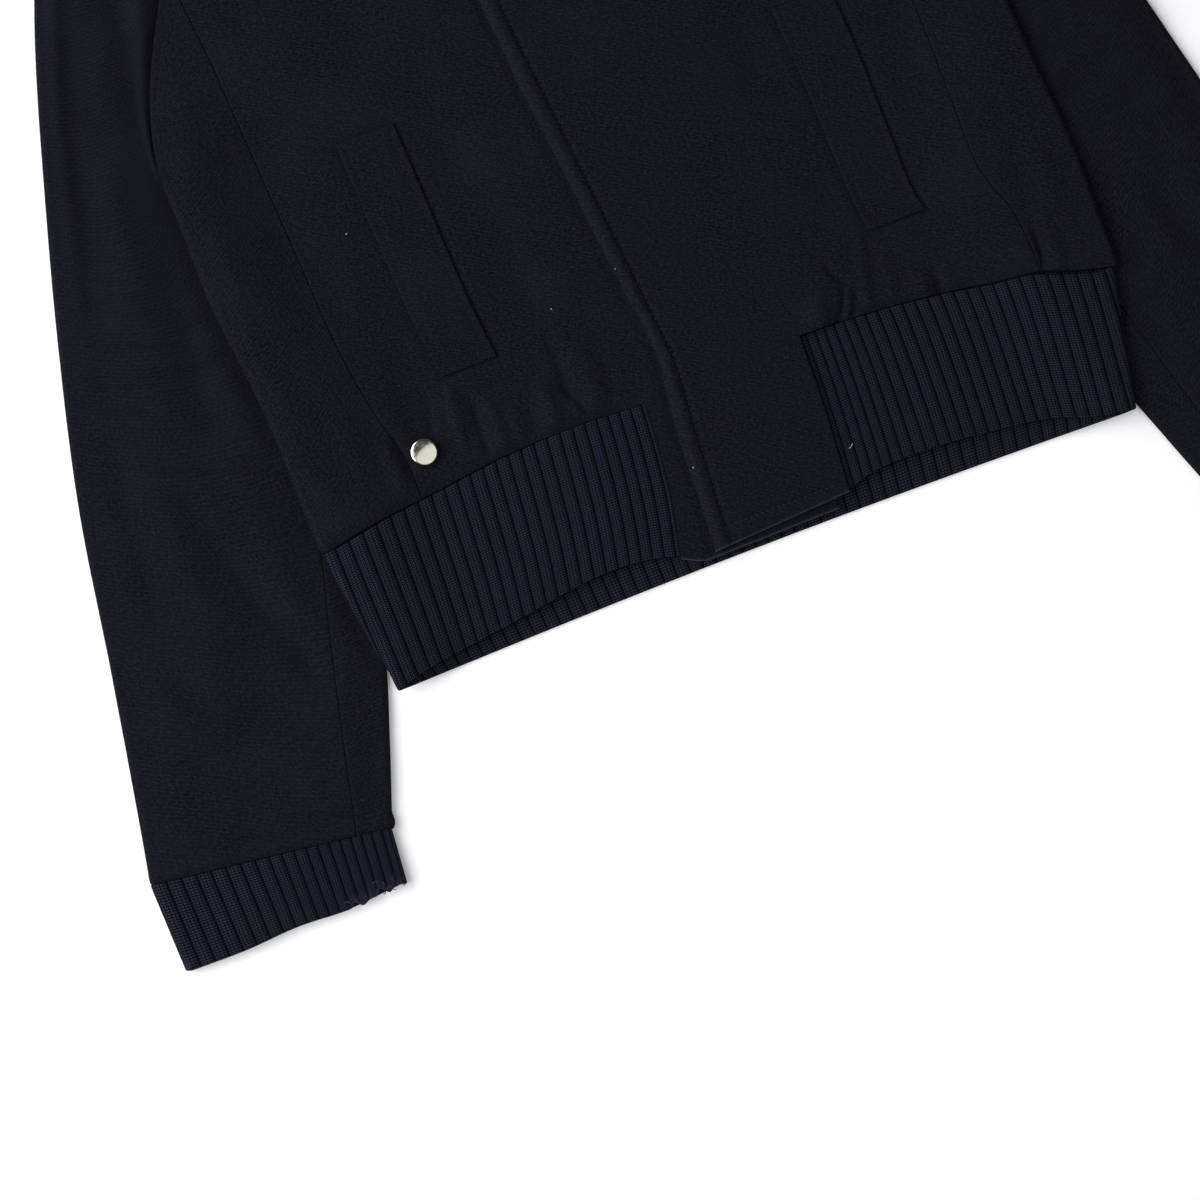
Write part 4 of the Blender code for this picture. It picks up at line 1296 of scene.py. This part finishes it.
def make_cuff(side):
    """A knit tube on the end of the sleeve. The right one is frayed at its lower edge."""
    sign = -sign_of(side)
    start, end = CUFF_RIBS["rib"][[0, -1]]
    last = start + CUFF_RIB_COUNT
    turns = (start, end, end + CUFF_FOLD_RIBS, last - CUFF_FOLD_RIBS + 1 / LINES_PER_RIB, last)
    ribs = apart(np.concatenate([rib_lines(b, a, LINES_PER_RIB)[::-1][:-1]
                                 for a, b in zip(turns, turns[1:])]))
    lower_share = (turns[3] - ribs) / (turns[3] - turns[2])
    a = np.where(ribs <= turns[1], smooth(CUFF_RIBS["rib"], CUFF_RIBS["share"], ribs),
                 np.where(ribs <= turns[2], 1, np.clip(lower_share, 0, 1)))
    inner = np.clip((ribs - turns[1]) / (turns[2] - turns[1]), 0, 1) * math.pi
    outer = np.clip((ribs - turns[3]) / (turns[4] - turns[3]), 0, 1) * math.pi
    b = np.ones(1)
    base = sleeve_plan(side, a[None, :], b[:, None])[0]
    out = (outward(side, "inner", b) * np.sin(inner)[:, None]
           + outward(side, "outer", b) * np.sin(outer)[:, None]) * KNIT_FOLD / 2
    high = np.where(ribs <= turns[1], 1, np.where(ribs <= turns[3], (1 + np.cos(inner)) / 2,
                                                   (1 - np.cos(outer)) / 2))
    share = stops(CUFF_DEPTH, CUFF_ROWS)[:, None]
    u = base[None, :, 0] + out[None, :, 0] + sign * share * smooth(CUFF["share"], CUFF["shift"], a)
    drop = smooth(CUFF["share"], CUFF["drop"], a)
    v = base[None, :, 1] + out[None, :, 1] - RIB_DROP - share * drop
    if side == "right":
        worn = np.zeros(len(ribs))
        for at, wide, deep in CUFF_WEAR:
            worn += deep * bell(ribs - at, wide) * (high > 0.5)
        v = v + worn * ease((share - 0.55) / 0.45)
    z = KNIT / 2 + KNIT_FOLD * high + np.zeros(u.shape)
    z = z + high * (0.8 * slack(u * 1.3 + 500, v) - SEAM_VALLEY * bell(share * CUFF_DEPTH, 2.4))
    wear = 0.3 * worn_cuff(ribs) * ease((share - 0.8) / 0.2) * (high > 0.5) if side == "right" else 0.0
    down = share * CUFF_DEPTH
    return knitted("cuff_" + side, (u, v, z), ribs[None, :], down, CUFF_RIB_COUNT, wear)


# Sleeves

def fold_line(side, name, b):
    """A fold of the sleeve, seen from above, at the share b of the way from armhole to cuff."""
    u, v = read(SLEEVE, name + "_u", b), read(SLEEVE, name + "_v", b)
    if side == "left":
        u = -u - read(SLEEVE, name + "_nearer", b)
    return np.stack([u, v], axis=-1)


def outward(side, name, b):
    """Unit vector across a fold, away from the sleeve."""
    across = square_to(lambda share: fold_line(side, name, share), b)
    return across if (side == "right") == (name == "outer") else -across


def fold_base(side, name, b):
    """Where the arc round a fold starts."""
    return fold_line(side, name, b) - outward(side, name, b) * REACH


def armhole_u(side, v):
    """u of the body's cut edge at the height v. Above the yoke the rows of the body's grid are bent."""
    row = v
    for _ in range(4):
        top = front_top(body("fold_" + side, row))
        row = np.where(v > YOKE_V, YOKE_V + (v - YOKE_V) * (TIP_V - YOKE_V) / (top - YOKE_V), v)
    return body("fold_" + side, row)


def sleeve_plan(side, a, b):
    """A point of the sleeve seen from above, between the armhole, the two folds and the cuff seam."""
    a = np.asarray(a, float)[..., None]
    first, last = fold_base(side, "outer", np.zeros(1)), fold_base(side, "inner", np.zeros(1))
    along = lerp(fold_base(side, "outer", b), fold_base(side, "inner", b), a)
    v = lerp(ARMHOLE_V[0], ARMHOLE_V[1], a)
    tucked = 0.1 + UNDERARM_TUCK * (1 - ease((v - UNDERARM_V) / 22))
    hole = np.concatenate([armhole_u(side, v) - sign_of(side) * tucked, v], axis=-1)
    b = np.asarray(b, float)[..., None]
    swing = SLEEVE_SWING * b * (1 - b) ** 2 * np.sin(math.pi * a)
    swung = np.concatenate([sign_of(side) * swing, np.zeros(swing.shape)], axis=-1)
    return along + (hole - lerp(first, last, a)) * (1 - b) ** 5 + swung


def seam_share(b):
    """Share of the sleeve's width at which the seam that shows runs."""
    return lerp(SEAM_SHARE, read(SLEEVE, "seam", b), np.minimum(b * 4, 1))


def sleeve_height(side, u, v, high, from_outer, from_inner, b):
    """Height of a sleeve's wall: creases and a soft swell, flattened where the body lies on it."""
    swell = 2.0 * ease(from_outer / 26) * ease(from_inner / 18) - 0.6
    raised = crease(SLEEVE_FOLDS[side], u, v) + 1.3 * slack(u + 900, v) + swell
    by_cuff = 1 - 0.8 * ease((b - 0.955) / 0.045)
    by_armhole = ease(b / 0.05 + 0.2)
    raised = raised * by_cuff * by_armhole
    # nothing rises under the body, and the right sleeve sinks beside it
    outside = np.abs(u) - np.abs(body("fold_" + side, v))
    free = lerp(1, ease((outside + 2) / 12), ease((UNDERARM_V + 18 - v) / 24))
    raised = np.where(raised > 0, raised * free, raised)
    if side == "right":
        below = ease((UNDERARM_V + 12 - v) / 30)
        raised = raised - 2.4 * below * bell(outside - 1, 7)
    # a hollow along the armhole with a swell after it, and a ridge beside the outer fold
    from_armhole = b * SLEEVE_LENGTH
    hollow = 3.0 * np.exp(-from_armhole / 15) - 2.4 * bell(from_armhole - 32, 16)
    raised = raised - hollow * ease((470 - v) / 60) * ease((v - UNDERARM_V + 8) / 24)
    raised = raised + 1.2 * bell(from_outer - 20, 13) * ease((v - 250) / 60) * by_armhole
    raised = np.maximum(raised, CLOTH - FOLD)
    # the roll above the cuff seam, and the seam itself
    from_cuff = (1 - b) * SLEEVE_LENGTH
    raised = raised + 1.0 * bell(from_cuff - 5, 4) - 0.5 * bell(from_cuff, 2)
    return CLOTH / 2 + FOLD * high + raised * high


def make_sleeve(side, part):
    """One panel of a sleeve. The top one goes round the outer fold, the under one round the inner."""
    b = stops(SLEEVE_LENGTH, SLEEVE_ROWS)[:, None]
    seam = seam_share(b)
    back = BACK_SHARE * seam / SEAM_SHARE
    ends = sleeve_plan(side, np.ones(b.shape), b) - sleeve_plan(side, np.zeros(b.shape), b)
    width = np.linalg.norm(ends, axis=-1)
    gap = SEAM / 2 / width * 1.3
    if part == "top":
        fold = "outer"
        shown = stops(SLEEVE_TOP[0], SLEEVE_LINES, start=False)
        hidden = stops(SLEEVE_TOP[1], COARSE, end=False)
        a = np.concatenate([(back - gap) * (1 - hidden), np.zeros((len(b), len(ARC))),
                            (seam - gap) * shown], axis=1)
        angle = fold_angles(len(shown), len(hidden))[::-1]
    else:
        fold = "inner"
        shown = stops(SLEEVE_UNDER[0], SLEEVE_LINES, end=False)
        hidden = stops(SLEEVE_UNDER[1], COARSE, start=False)
        a = np.concatenate([lerp(seam + gap, 1, shown), np.ones((len(b), len(ARC))),
                            lerp(1, back + gap, hidden)], axis=1)
        angle = fold_angles(len(shown), len(hidden))
    plan = sleeve_plan(side, a, b)
    roll = 1.8 * bell((1 - b) * SLEEVE_LENGTH - 5, 5) if part == "under" else 0
    plan = plan + outward(side, fold, b) * (np.sin(angle) * (FOLD / 2 + roll))[..., None]
    u, v = plan[..., 0], plan[..., 1]
    high = (1 + np.cos(angle))[None, :] / 2
    z = sleeve_height(side, u, v, high, a * width, (1 - a) * width, b)
    return cloth(f"sleeve_{part}_{side}", u, v, z)


# Hood

def hood_fold(s):
    """Where the arc of the hood's fold starts, and the unit vector across the fold."""
    def outline(t):
        return np.stack([-read(HOOD, "fold_u", t), read(HOOD, "fold_v", t)], axis=-1)
    across = np.where(np.asarray(s)[..., None] < 1, -square_to(outline, s), np.array([0.0, 1.0]))
    return outline(s) - across * REACH, across


def hood_layer(s, a, upper):
    """Points of one layer: a is 0 at the fold and 1 at the front edge or the centre seam."""
    def inner(t):
        u = -read(HOOD, "edge_u", t) if upper else np.zeros(np.shape(t))
        v = read(HOOD, "edge_v" if upper else "back_v", t)
        return np.stack([np.minimum(u, -SEAM / 2), v], axis=-1)
    start = hood_fold(np.zeros(1))[0]
    fold = hood_fold(s)[0]
    fold[..., 0] = np.minimum(fold[..., 0], -SEAM / 2)
    a = np.asarray(a)[..., None]
    first = inner(np.zeros(1))
    u = lerp(start[..., 0], first[..., 0], a[..., 0])
    panel_v = (front_top if upper else back_top)(u)
    low = np.stack([u, panel_v + RIB_DROP], axis=-1)
    fade = (1 - np.asarray(s)[..., None]) ** 2
    return lerp(fold, inner(s), a) + (low - lerp(start, first, a)) * fade


def make_hood(side):
    """Half of the hood, from its front edge round the side fold to the centre seam."""
    mirror = 1 if side == "right" else -1
    near_crown = 1 - EDGE_STEPS[-1] / HOOD_LENGTH
    s = np.append(stops(HOOD_LENGTH, COARSE, end=False)[:-1], (near_crown, 1))[:, None]
    front, back = 1 - stops(HOOD_FRONT, COARSE, end=False), stops(HOOD_BACK, COARSE, start=False)
    ones = np.ones(s.shape)
    upper = hood_layer(s * np.ones(front.shape), front * ones, True)
    lower = hood_layer(s * np.ones(back.shape), back * ones, False)
    edge, share = np.zeros(s.shape), ((1 + np.cos(ARC)) / 2)[None, :, None]
    arc = lerp(hood_layer(s, edge, False), hood_layer(s, edge, True), share)
    arc = arc + hood_fold(s)[1] * (np.sin(ARC) * FOLD / 2)[None, :, None]
    neck = lerp(back_top(arc[0, :, 0]), front_top(arc[0, :, 0]), share[0, :, 0]) + RIB_DROP
    arc[..., 1] += (neck - arc[0, :, 1]) * (1 - s) ** 8
    plan = np.concatenate([upper, arc, lower], axis=1)
    angle = fold_angles(len(front), len(back))
    high = (1 + np.cos(angle))[None, :] / 2
    u, v = plan[..., 0] * mirror, plan[..., 1]
    raised = crease(HOOD_FOLDS, u, v) + slack(u + 400, v) + 0.4
    raised = raised * ease((v - front_top(u) - 2) / 22)
    from_edge = np.full(len(angle), float(HOOD_FRONT))
    from_edge[:len(front)] = (1 - front) * HOOD_FRONT
    hem = -0.5 * bell(from_edge - HOOD_HEM, 1.4)
    z = CLOTH / 2 + FOLD * high + (raised + hem[None, :]) * high
    return cloth("hood_" + side, u, v, z)


# Small pieces

def make_fly_stitches(front):
    """Sunk stitches of the fly, one strand each, down the front and along its bottom."""
    thread = bpy.context.scene.blouson_thread
    pitch, radius = thread.stitch / MM, thread.thickness / MM / 2
    (corner_u, corner_v), (end_u, end_v) = FLY_CORNER, FLY_STITCH_END
    down = [(float(stitch_line(v)), v) for v in np.arange(FLY_STITCH_TOP, corner_v + 1, -pitch)]
    along = [(u, lerp(corner_v, end_v, (u - corner_u) / (end_u - corner_u)))
             for u in np.arange(corner_u + 1, end_u, pitch)]
    paths = []
    for line in (down, along):
        for (u0, v0), (u1, v1) in zip(line, line[1:]):
            points = []
            for share, rise in STITCH_RISE:
                u, v = lerp(u0, u1, share), lerp(v0, v1, share)
                points.append((u, v, surface_z([front], u, v) + rise))
            paths.append((points, radius))
    return strands("fly_stitches", paths, finish("thread"))


def make_fray():
    """Loose loops of yarn where the right cuff is worn through."""
    paths = []
    for i, (u, v, turn) in enumerate(FRAY):
        lean = math.radians(turn)
        size = 1.2 + 0.4 * math.sin(i * 2.3)
        points = []
        for k in range(9):
            t = k / 8
            round_u = math.sin(t * math.pi * 1.35) * size
            round_v = (t - 0.5) * size * 1.7
            pu = u + round_u * math.cos(lean) - round_v * math.sin(lean)
            pv = v + round_u * math.sin(lean) + round_v * math.cos(lean)
            points.append((pu, pv, FRAY_Z + 0.9 * math.sin(t * math.pi) + 0.35 * math.sin(i * 1.7)))
        paths.append((points, FRAY_RADIUS))
    return strands("cuff_fray", paths, finish("fray"))


def make_lint(pieces):
    """Pale fibres that lie on the cloth."""
    paths = []
    for i, (u, v, size, thick) in enumerate(LINT):
        lean = 0.6 + i * 1.9
        points = []
        for k in range(7):
            t = k / 6 - 0.5
            bend = (0.25 - t * t) * size * 0.5
            pu = u + t * size * math.cos(lean) - bend * math.sin(lean)
            pv = v + t * size * math.sin(lean) + bend * math.cos(lean)
            points.append((pu, pv, surface_z(pieces, pu, pv) + thick * 0.8))
        paths.append((points, thick))
    return strands("lint", paths, finish("lint"))


# The cap of the press stud from its underside over the rolled rim to the crown: shares of its radius
# and of its height
SNAP_BASE = 0.93
SNAP_PROFILE = (
    (0.985, 0.1), (1.0, 0.3), (0.995, 0.52), (0.975, 0.7), (0.94, 0.81), (0.9, 0.86), (0.85, 0.892),
    (0.78, 0.909), (0.7, 0.926), (0.6, 0.946), (0.48, 0.965), (0.34, 0.983), (0.2, 0.994),
    (0.08, 0.999),
)


def make_snap():
    """Domed cap of the press stud: a pressed shell with a rolled rim."""
    low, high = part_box("snap_cap")
    centre = ((low.x + high.x) / 2, (low.y + high.y) / 2, low.z)
    snap = bpy.context.scene.blouson_snap
    radius, height = snap.diameter / 2, snap.height
    bpy.ops.object.select_all(action="DESELECT")
    bpy.ops.mesh.primitive_circle_add(
        vertices=64, radius=radius * SNAP_BASE, fill_type="NGON", location=centre)
    piece = bpy.context.active_object
    piece.name = piece.data.name = "snap_cap_nickel"
    bpy.ops.object.mode_set(mode="EDIT")
    now_radius, now_height = SNAP_BASE, 0.0
    for reach, rise in SNAP_PROFILE:
        bpy.ops.mesh.extrude_region_move(
            TRANSFORM_OT_translate={"value": (0, 0, (rise - now_height) * height)})
        scale = reach / now_radius
        bpy.ops.transform.resize(value=(scale, scale, 1))
        now_radius, now_height = reach, rise
    bpy.ops.mesh.select_all(action="SELECT")
    bpy.ops.mesh.normals_make_consistent(inside=False)
    bpy.ops.object.mode_set(mode="OBJECT")
    bpy.ops.object.shade_smooth()
    bpy.ops.object.transform_apply(location=True, rotation=True, scale=True)
    piece.data.materials.append(finish("nickel"))
    return piece


def laid(piece, node):
    """Lay a piece of cloth in place of its solid."""
    dress(piece, node)


# Settings

class WoolSettings(bpy.types.PropertyGroup):
    twill_pitch: bpy.props.FloatProperty(
        name="Twill pitch", unit="LENGTH", precision=5, default=0.0019,
        description="Spacing of the diagonal ridges, about twice the real one, so that they show")
    nap_height: bpy.props.FloatProperty(
        name="Nap height", unit="LENGTH", precision=5, default=0.00035,
        description="Depth of the felted surface")
    hollow_colour: bpy.props.FloatVectorProperty(
        name="Hollows", subtype="COLOR", size=3, default=linear("020203"),
        description="Wool between the ridges")
    nap_colour: bpy.props.FloatVectorProperty(
        name="Nap", subtype="COLOR", size=3, default=linear("1a1b24"),
        description="Wool on the ridges and in the nap")
    worn_colour: bpy.props.FloatVectorProperty(
        name="Worn patches", subtype="COLOR", size=3, default=linear("181922"),
        description="Where the nap has been brushed up by use")
    # Rubbed nap along edges, also used as painted highlight on the fly's ridge and the fronts' lower
    # edges
    wear_and_highlight_colour: bpy.props.FloatVectorProperty(
        name="Rubbed edges and painted highlight", subtype="COLOR", size=3, default=linear("5c6070"),
        description="Nap rubbed up along edges")
    # Lighter fibres, and painted glints where nap tips catch the light
    fibre_and_glint_colour: bpy.props.FloatVectorProperty(
        name="Pale fibres", subtype="COLOR", size=3, default=linear("343642"),
        description="The odd lighter fibre in the nap")


class KnitSettings(bpy.types.PropertyGroup):
    rib_pitch: bpy.props.FloatProperty(
        name="Rib pitch", unit="LENGTH", precision=4, default=RIB_PITCH * MM,
        description="Width of one rib of the hem band and cuffs")
    wales: bpy.props.FloatProperty(
        name="Stitches across a rib", default=4.0, description="Chains of stitches in one rib")
    course: bpy.props.FloatProperty(
        name="Course", unit="LENGTH", precision=5, default=0.0014,
        description="Length of one stitch along the rib")
    stitch_height: bpy.props.FloatProperty(
        name="Stitch height", unit="LENGTH", precision=5, default=0.0004,
        description="Height of a stitch over the hollows beside it")
    yarn_colour: bpy.props.FloatVectorProperty(
        name="Yarn", subtype="COLOR", size=3, default=linear("292d3d"),
        description="Top of the stitches")
    # Also the colour of the painted shade in the grooves between ribs
    hollow_colour: bpy.props.FloatVectorProperty(
        name="Hollows", subtype="COLOR", size=3, default=linear("020204"),
        description="Between stitches and ribs")
    frayed_colour: bpy.props.FloatVectorProperty(
        name="Frayed yarn", subtype="COLOR", size=3, default=linear("30364a"),
        description="Broken yarn at the worn cuff")


class ThreadSettings(bpy.types.PropertyGroup):
    stitch: bpy.props.FloatProperty(
        name="Stitch", unit="LENGTH", precision=4, default=0.0031, description="Length of one stitch")
    thickness: bpy.props.FloatProperty(
        name="Thickness", unit="LENGTH", precision=5, default=0.0005,
        description="Thickness of the thread")
    colour: bpy.props.FloatVectorProperty(
        name="Colour", subtype="COLOR", size=3, default=linear("0d0e13"),
        description="Colour of the thread")


class SnapSettings(bpy.types.PropertyGroup):
    diameter: bpy.props.FloatProperty(
        name="Diameter", unit="LENGTH", precision=4, default=0.0152, description="Width of the cap")
    height: bpy.props.FloatProperty(
        name="Height", unit="LENGTH", precision=4, default=0.0032, description="Height of the cap")
    colour: bpy.props.FloatVectorProperty(
        name="Colour", subtype="COLOR", size=3, default=linear("b3b1a2"),
        description="Reflection colour of the plate")


class StageSettings(bpy.types.PropertyGroup):
    floor_size: bpy.props.FloatProperty(
        name="Floor", unit="LENGTH", default=14.0, description="Width of the floor")
    floor_colour: bpy.props.FloatVectorProperty(
        name="Floor colour", subtype="COLOR", size=3, default=linear("fafafa"),
        description="Colour of the backdrop paper")
    key_power: bpy.props.FloatProperty(
        name="Key light", unit="POWER", default=62.5,
        description="Power of the soft light from the side")
    fill_power: bpy.props.FloatProperty(
        name="Overhead light", unit="POWER", default=32.1, description="Power of the light from above")
    world_strength: bpy.props.FloatProperty(
        name="Room light", default=0.094, description="Strength of the pale light from all round")


# Operators

class BLOUSON_OT_right_front(bpy.types.Operator):
    """Right front, which runs on under the fly"""
    bl_idname = "blouson.right_front"
    bl_label = "Right front"

    def execute(self, context):
        laid(make_front_right(), "front_right")
        return {"FINISHED"}


class BLOUSON_OT_left_front(bpy.types.Operator):
    """Left front with the fly and its stitches"""
    bl_idname = "blouson.left_front"
    bl_label = "Left front and fly"

    def execute(self, context):
        front = make_front_left()
        stitches = make_fly_stitches(front)
        dress(stitches, None)
        laid(front, "front_left")
        return {"FINISHED"}


class BLOUSON_OT_back(bpy.types.Operator):
    """Back, which lies on the table and on the inner parts of the sleeves"""
    bl_idname = "blouson.back"
    bl_label = "Back"

    def execute(self, context):
        laid(make_back(), "back")
        return {"FINISHED"}


class BLOUSON_OT_sides(bpy.types.Operator):
    """Side panels, which turn round the side folds"""
    bl_idname = "blouson.sides"
    bl_label = "Side panels"

    def execute(self, context):
        for side in SIDES:
            laid(make_side(side), "side_" + side)
        return {"FINISHED"}


class BLOUSON_OT_welts(bpy.types.Operator):
    """Pocket welts"""
    bl_idname = "blouson.welts"
    bl_label = "Pocket welts"

    def execute(self, context):
        for side in SIDES:
            laid(make_welt(side), "welt_" + side)
        return {"FINISHED"}


class BLOUSON_OT_sleeves(bpy.types.Operator):
    """Top and under panels of both sleeves"""
    bl_idname = "blouson.sleeves"
    bl_label = "Sleeves"

    def execute(self, context):
        for side in SIDES:
            for part in ("top", "under"):
                node = f"sleeve_{part}_{side}"
                laid(make_sleeve(side, part), node)
        return {"FINISHED"}


class BLOUSON_OT_cuffs(bpy.types.Operator):
    """Rib cuffs, the right one with its worn edge"""
    bl_idname = "blouson.cuffs"
    bl_label = "Cuffs"

    def execute(self, context):
        for side in SIDES:
            cuff = make_cuff(side)
            loose = []
            if side == "right":
                loose = [make_fray()]
                dress(loose[0], None)
            laid(cuff, "cuff_" + side)
        return {"FINISHED"}


class BLOUSON_OT_hem_band(bpy.types.Operator):
    """Rib band round the hem"""
    bl_idname = "blouson.hem_band"
    bl_label = "Hem band"

    def execute(self, context):
        laid(make_hem_rib(), "hem_rib")
        return {"FINISHED"}


class BLOUSON_OT_hood(bpy.types.Operator):
    """Both halves of the hood"""
    bl_idname = "blouson.hood"
    bl_label = "Hood"

    def execute(self, context):
        for side in SIDES:
            laid(make_hood(side), "hood_" + side)
        return {"FINISHED"}


class BLOUSON_OT_snap(bpy.types.Operator):
    """Cap of the press stud"""
    bl_idname = "blouson.snap"
    bl_label = "Press stud"

    def execute(self, context):
        dress(make_snap(), "snap_cap")
        return {"FINISHED"}


class BLOUSON_OT_lint(bpy.types.Operator):
    """Pale fibres on the fronts"""
    bl_idname = "blouson.lint"
    bl_label = "Lint"

    def execute(self, context):
        names = ("front_right_cloth", "front_left_cloth", "hem_band_knit")
        dress(make_lint([bpy.data.objects[name] for name in names]), None)
        return {"FINISHED"}


class BLOUSON_OT_stage(bpy.types.Operator):
    """Floor, lights, room and camera"""
    bl_idname = "blouson.stage"
    bl_label = "Stage"

    def execute(self, context):
        make_stage(context.scene)
        return {"FINISHED"}


# Stage

CAMERA_AT = (-94, 8, 8)      # the middle of the view, half way up the garment
CAMERA_ABOVE = 1.8           # distance over it, in metres
CAMERA_TURN = math.radians(-21.5)
CAMERA_LENS, CAMERA_SENSOR = 100, 36
# Lamps: power setting, width, colour, and place from the middle of the view: right, up the view, above
LAMPS = {
    "key": ("key_power", 2.5, "fefeff", (-1.52, 0.15, 1.32)),
    "overhead": ("fill_power", 2.7, "fbfcff", (0.56, -0.56, 2.4)),
}


def make_light(name, size, power, place, aim, colour):
    data = bpy.data.lights.new(name, "AREA")
    data.shape = "DISK"
    data.size = size
    data.energy = power
    data.color = colour
    lamp = bpy.data.objects.new(name, data)
    bpy.context.scene.collection.objects.link(lamp)
    lamp.visible_camera = False
    lamp.location = place
    lamp.rotation_euler = (Vector(aim) - Vector(place)).to_track_quat("-Z", "Y").to_euler()


def make_stage(scene):
    stage = scene.blouson_stage
    bpy.ops.object.select_all(action="DESELECT")
    bpy.ops.mesh.primitive_plane_add(size=stage.floor_size, location=(0, 0, -0.0002))
    floor = bpy.context.active_object
    floor.name = floor.data.name = "floor"
    bpy.ops.object.transform_apply(location=True, rotation=True, scale=True)
    floor.data.materials.append(backdrop_paper(stage))

    world = bpy.data.worlds.new("pale_room")
    scene.world = world
    world.use_nodes = True
    air = world.node_tree.nodes["Background"].inputs
    air["Color"].default_value = (*linear("fbfcff"), 1)
    air["Strength"].default_value = stage.world_strength

    middle = Vector([(at + shift) * MM for at, shift in zip(CAMERA_AT, SHIFT)])
    right = Vector((math.cos(CAMERA_TURN), math.sin(CAMERA_TURN), 0))
    up = Vector((-right.y, right.x, 0))
    above = Vector((0, 0, 1))
    for name, (power, size, colour, (across, along, height)) in LAMPS.items():
        place = middle + right * across + up * along + above * height
        make_light(name, size, getattr(stage, power), place, middle, linear(colour))

    data = bpy.data.cameras.new("camera")
    data.type = "PERSP"
    data.lens = CAMERA_LENS
    data.sensor_width = CAMERA_SENSOR
    data.clip_end = 50
    camera = bpy.data.objects.new("camera", data)
    scene.collection.objects.link(camera)
    camera.location = middle + above * CAMERA_ABOVE
    camera.rotation_euler = (0, 0, CAMERA_TURN)
    scene.camera = camera
    scene.view_settings.view_transform = "Standard"


class BLOUSON_PT_panel(bpy.types.Panel):
    """Lists the settings and the pieces of the blouson"""
    bl_idname = "BLOUSON_PT_panel"
    bl_label = "Wool blouson"
    bl_space_type = "VIEW_3D"
    bl_region_type = "UI"
    bl_category = "Blouson"

    def draw(self, context):
        for name, _ in SETTINGS:
            group = getattr(context.scene, name)
            box = self.layout.box()
            for key in group.bl_rna.properties.keys():
                if key not in ("rna_type", "name"):
                    box.prop(group, key)
        for operator in OPERATORS:
            self.layout.operator(operator.bl_idname)


SETTINGS = (
    ("blouson_wool", WoolSettings),
    ("blouson_knit", KnitSettings),
    ("blouson_thread", ThreadSettings),
    ("blouson_snap", SnapSettings),
    ("blouson_stage", StageSettings),
)
OPERATORS = (
    BLOUSON_OT_stage,
    BLOUSON_OT_sleeves,
    BLOUSON_OT_cuffs,
    BLOUSON_OT_back,
    BLOUSON_OT_hem_band,
    BLOUSON_OT_sides,
    BLOUSON_OT_right_front,
    BLOUSON_OT_left_front,
    BLOUSON_OT_welts,
    BLOUSON_OT_hood,
    BLOUSON_OT_snap,
    BLOUSON_OT_lint,
)


def register():
    for name, group in SETTINGS:
        bpy.utils.register_class(group)
        setattr(bpy.types.Scene, name, bpy.props.PointerProperty(type=group))
    for operator in OPERATORS:
        bpy.utils.register_class(operator)
    bpy.utils.register_class(BLOUSON_PT_panel)


def unregister():
    bpy.utils.unregister_class(BLOUSON_PT_panel)
    for operator in reversed(OPERATORS):
        bpy.utils.unregister_class(operator)
    for name, group in reversed(SETTINGS):
        delattr(bpy.types.Scene, name)
        bpy.utils.unregister_class(group)


def main():
    register()
    for operator in OPERATORS:
        group, action = operator.bl_idname.split(".")
        getattr(getattr(bpy.ops, group), action)()


if __name__ == "__main__":
    main()
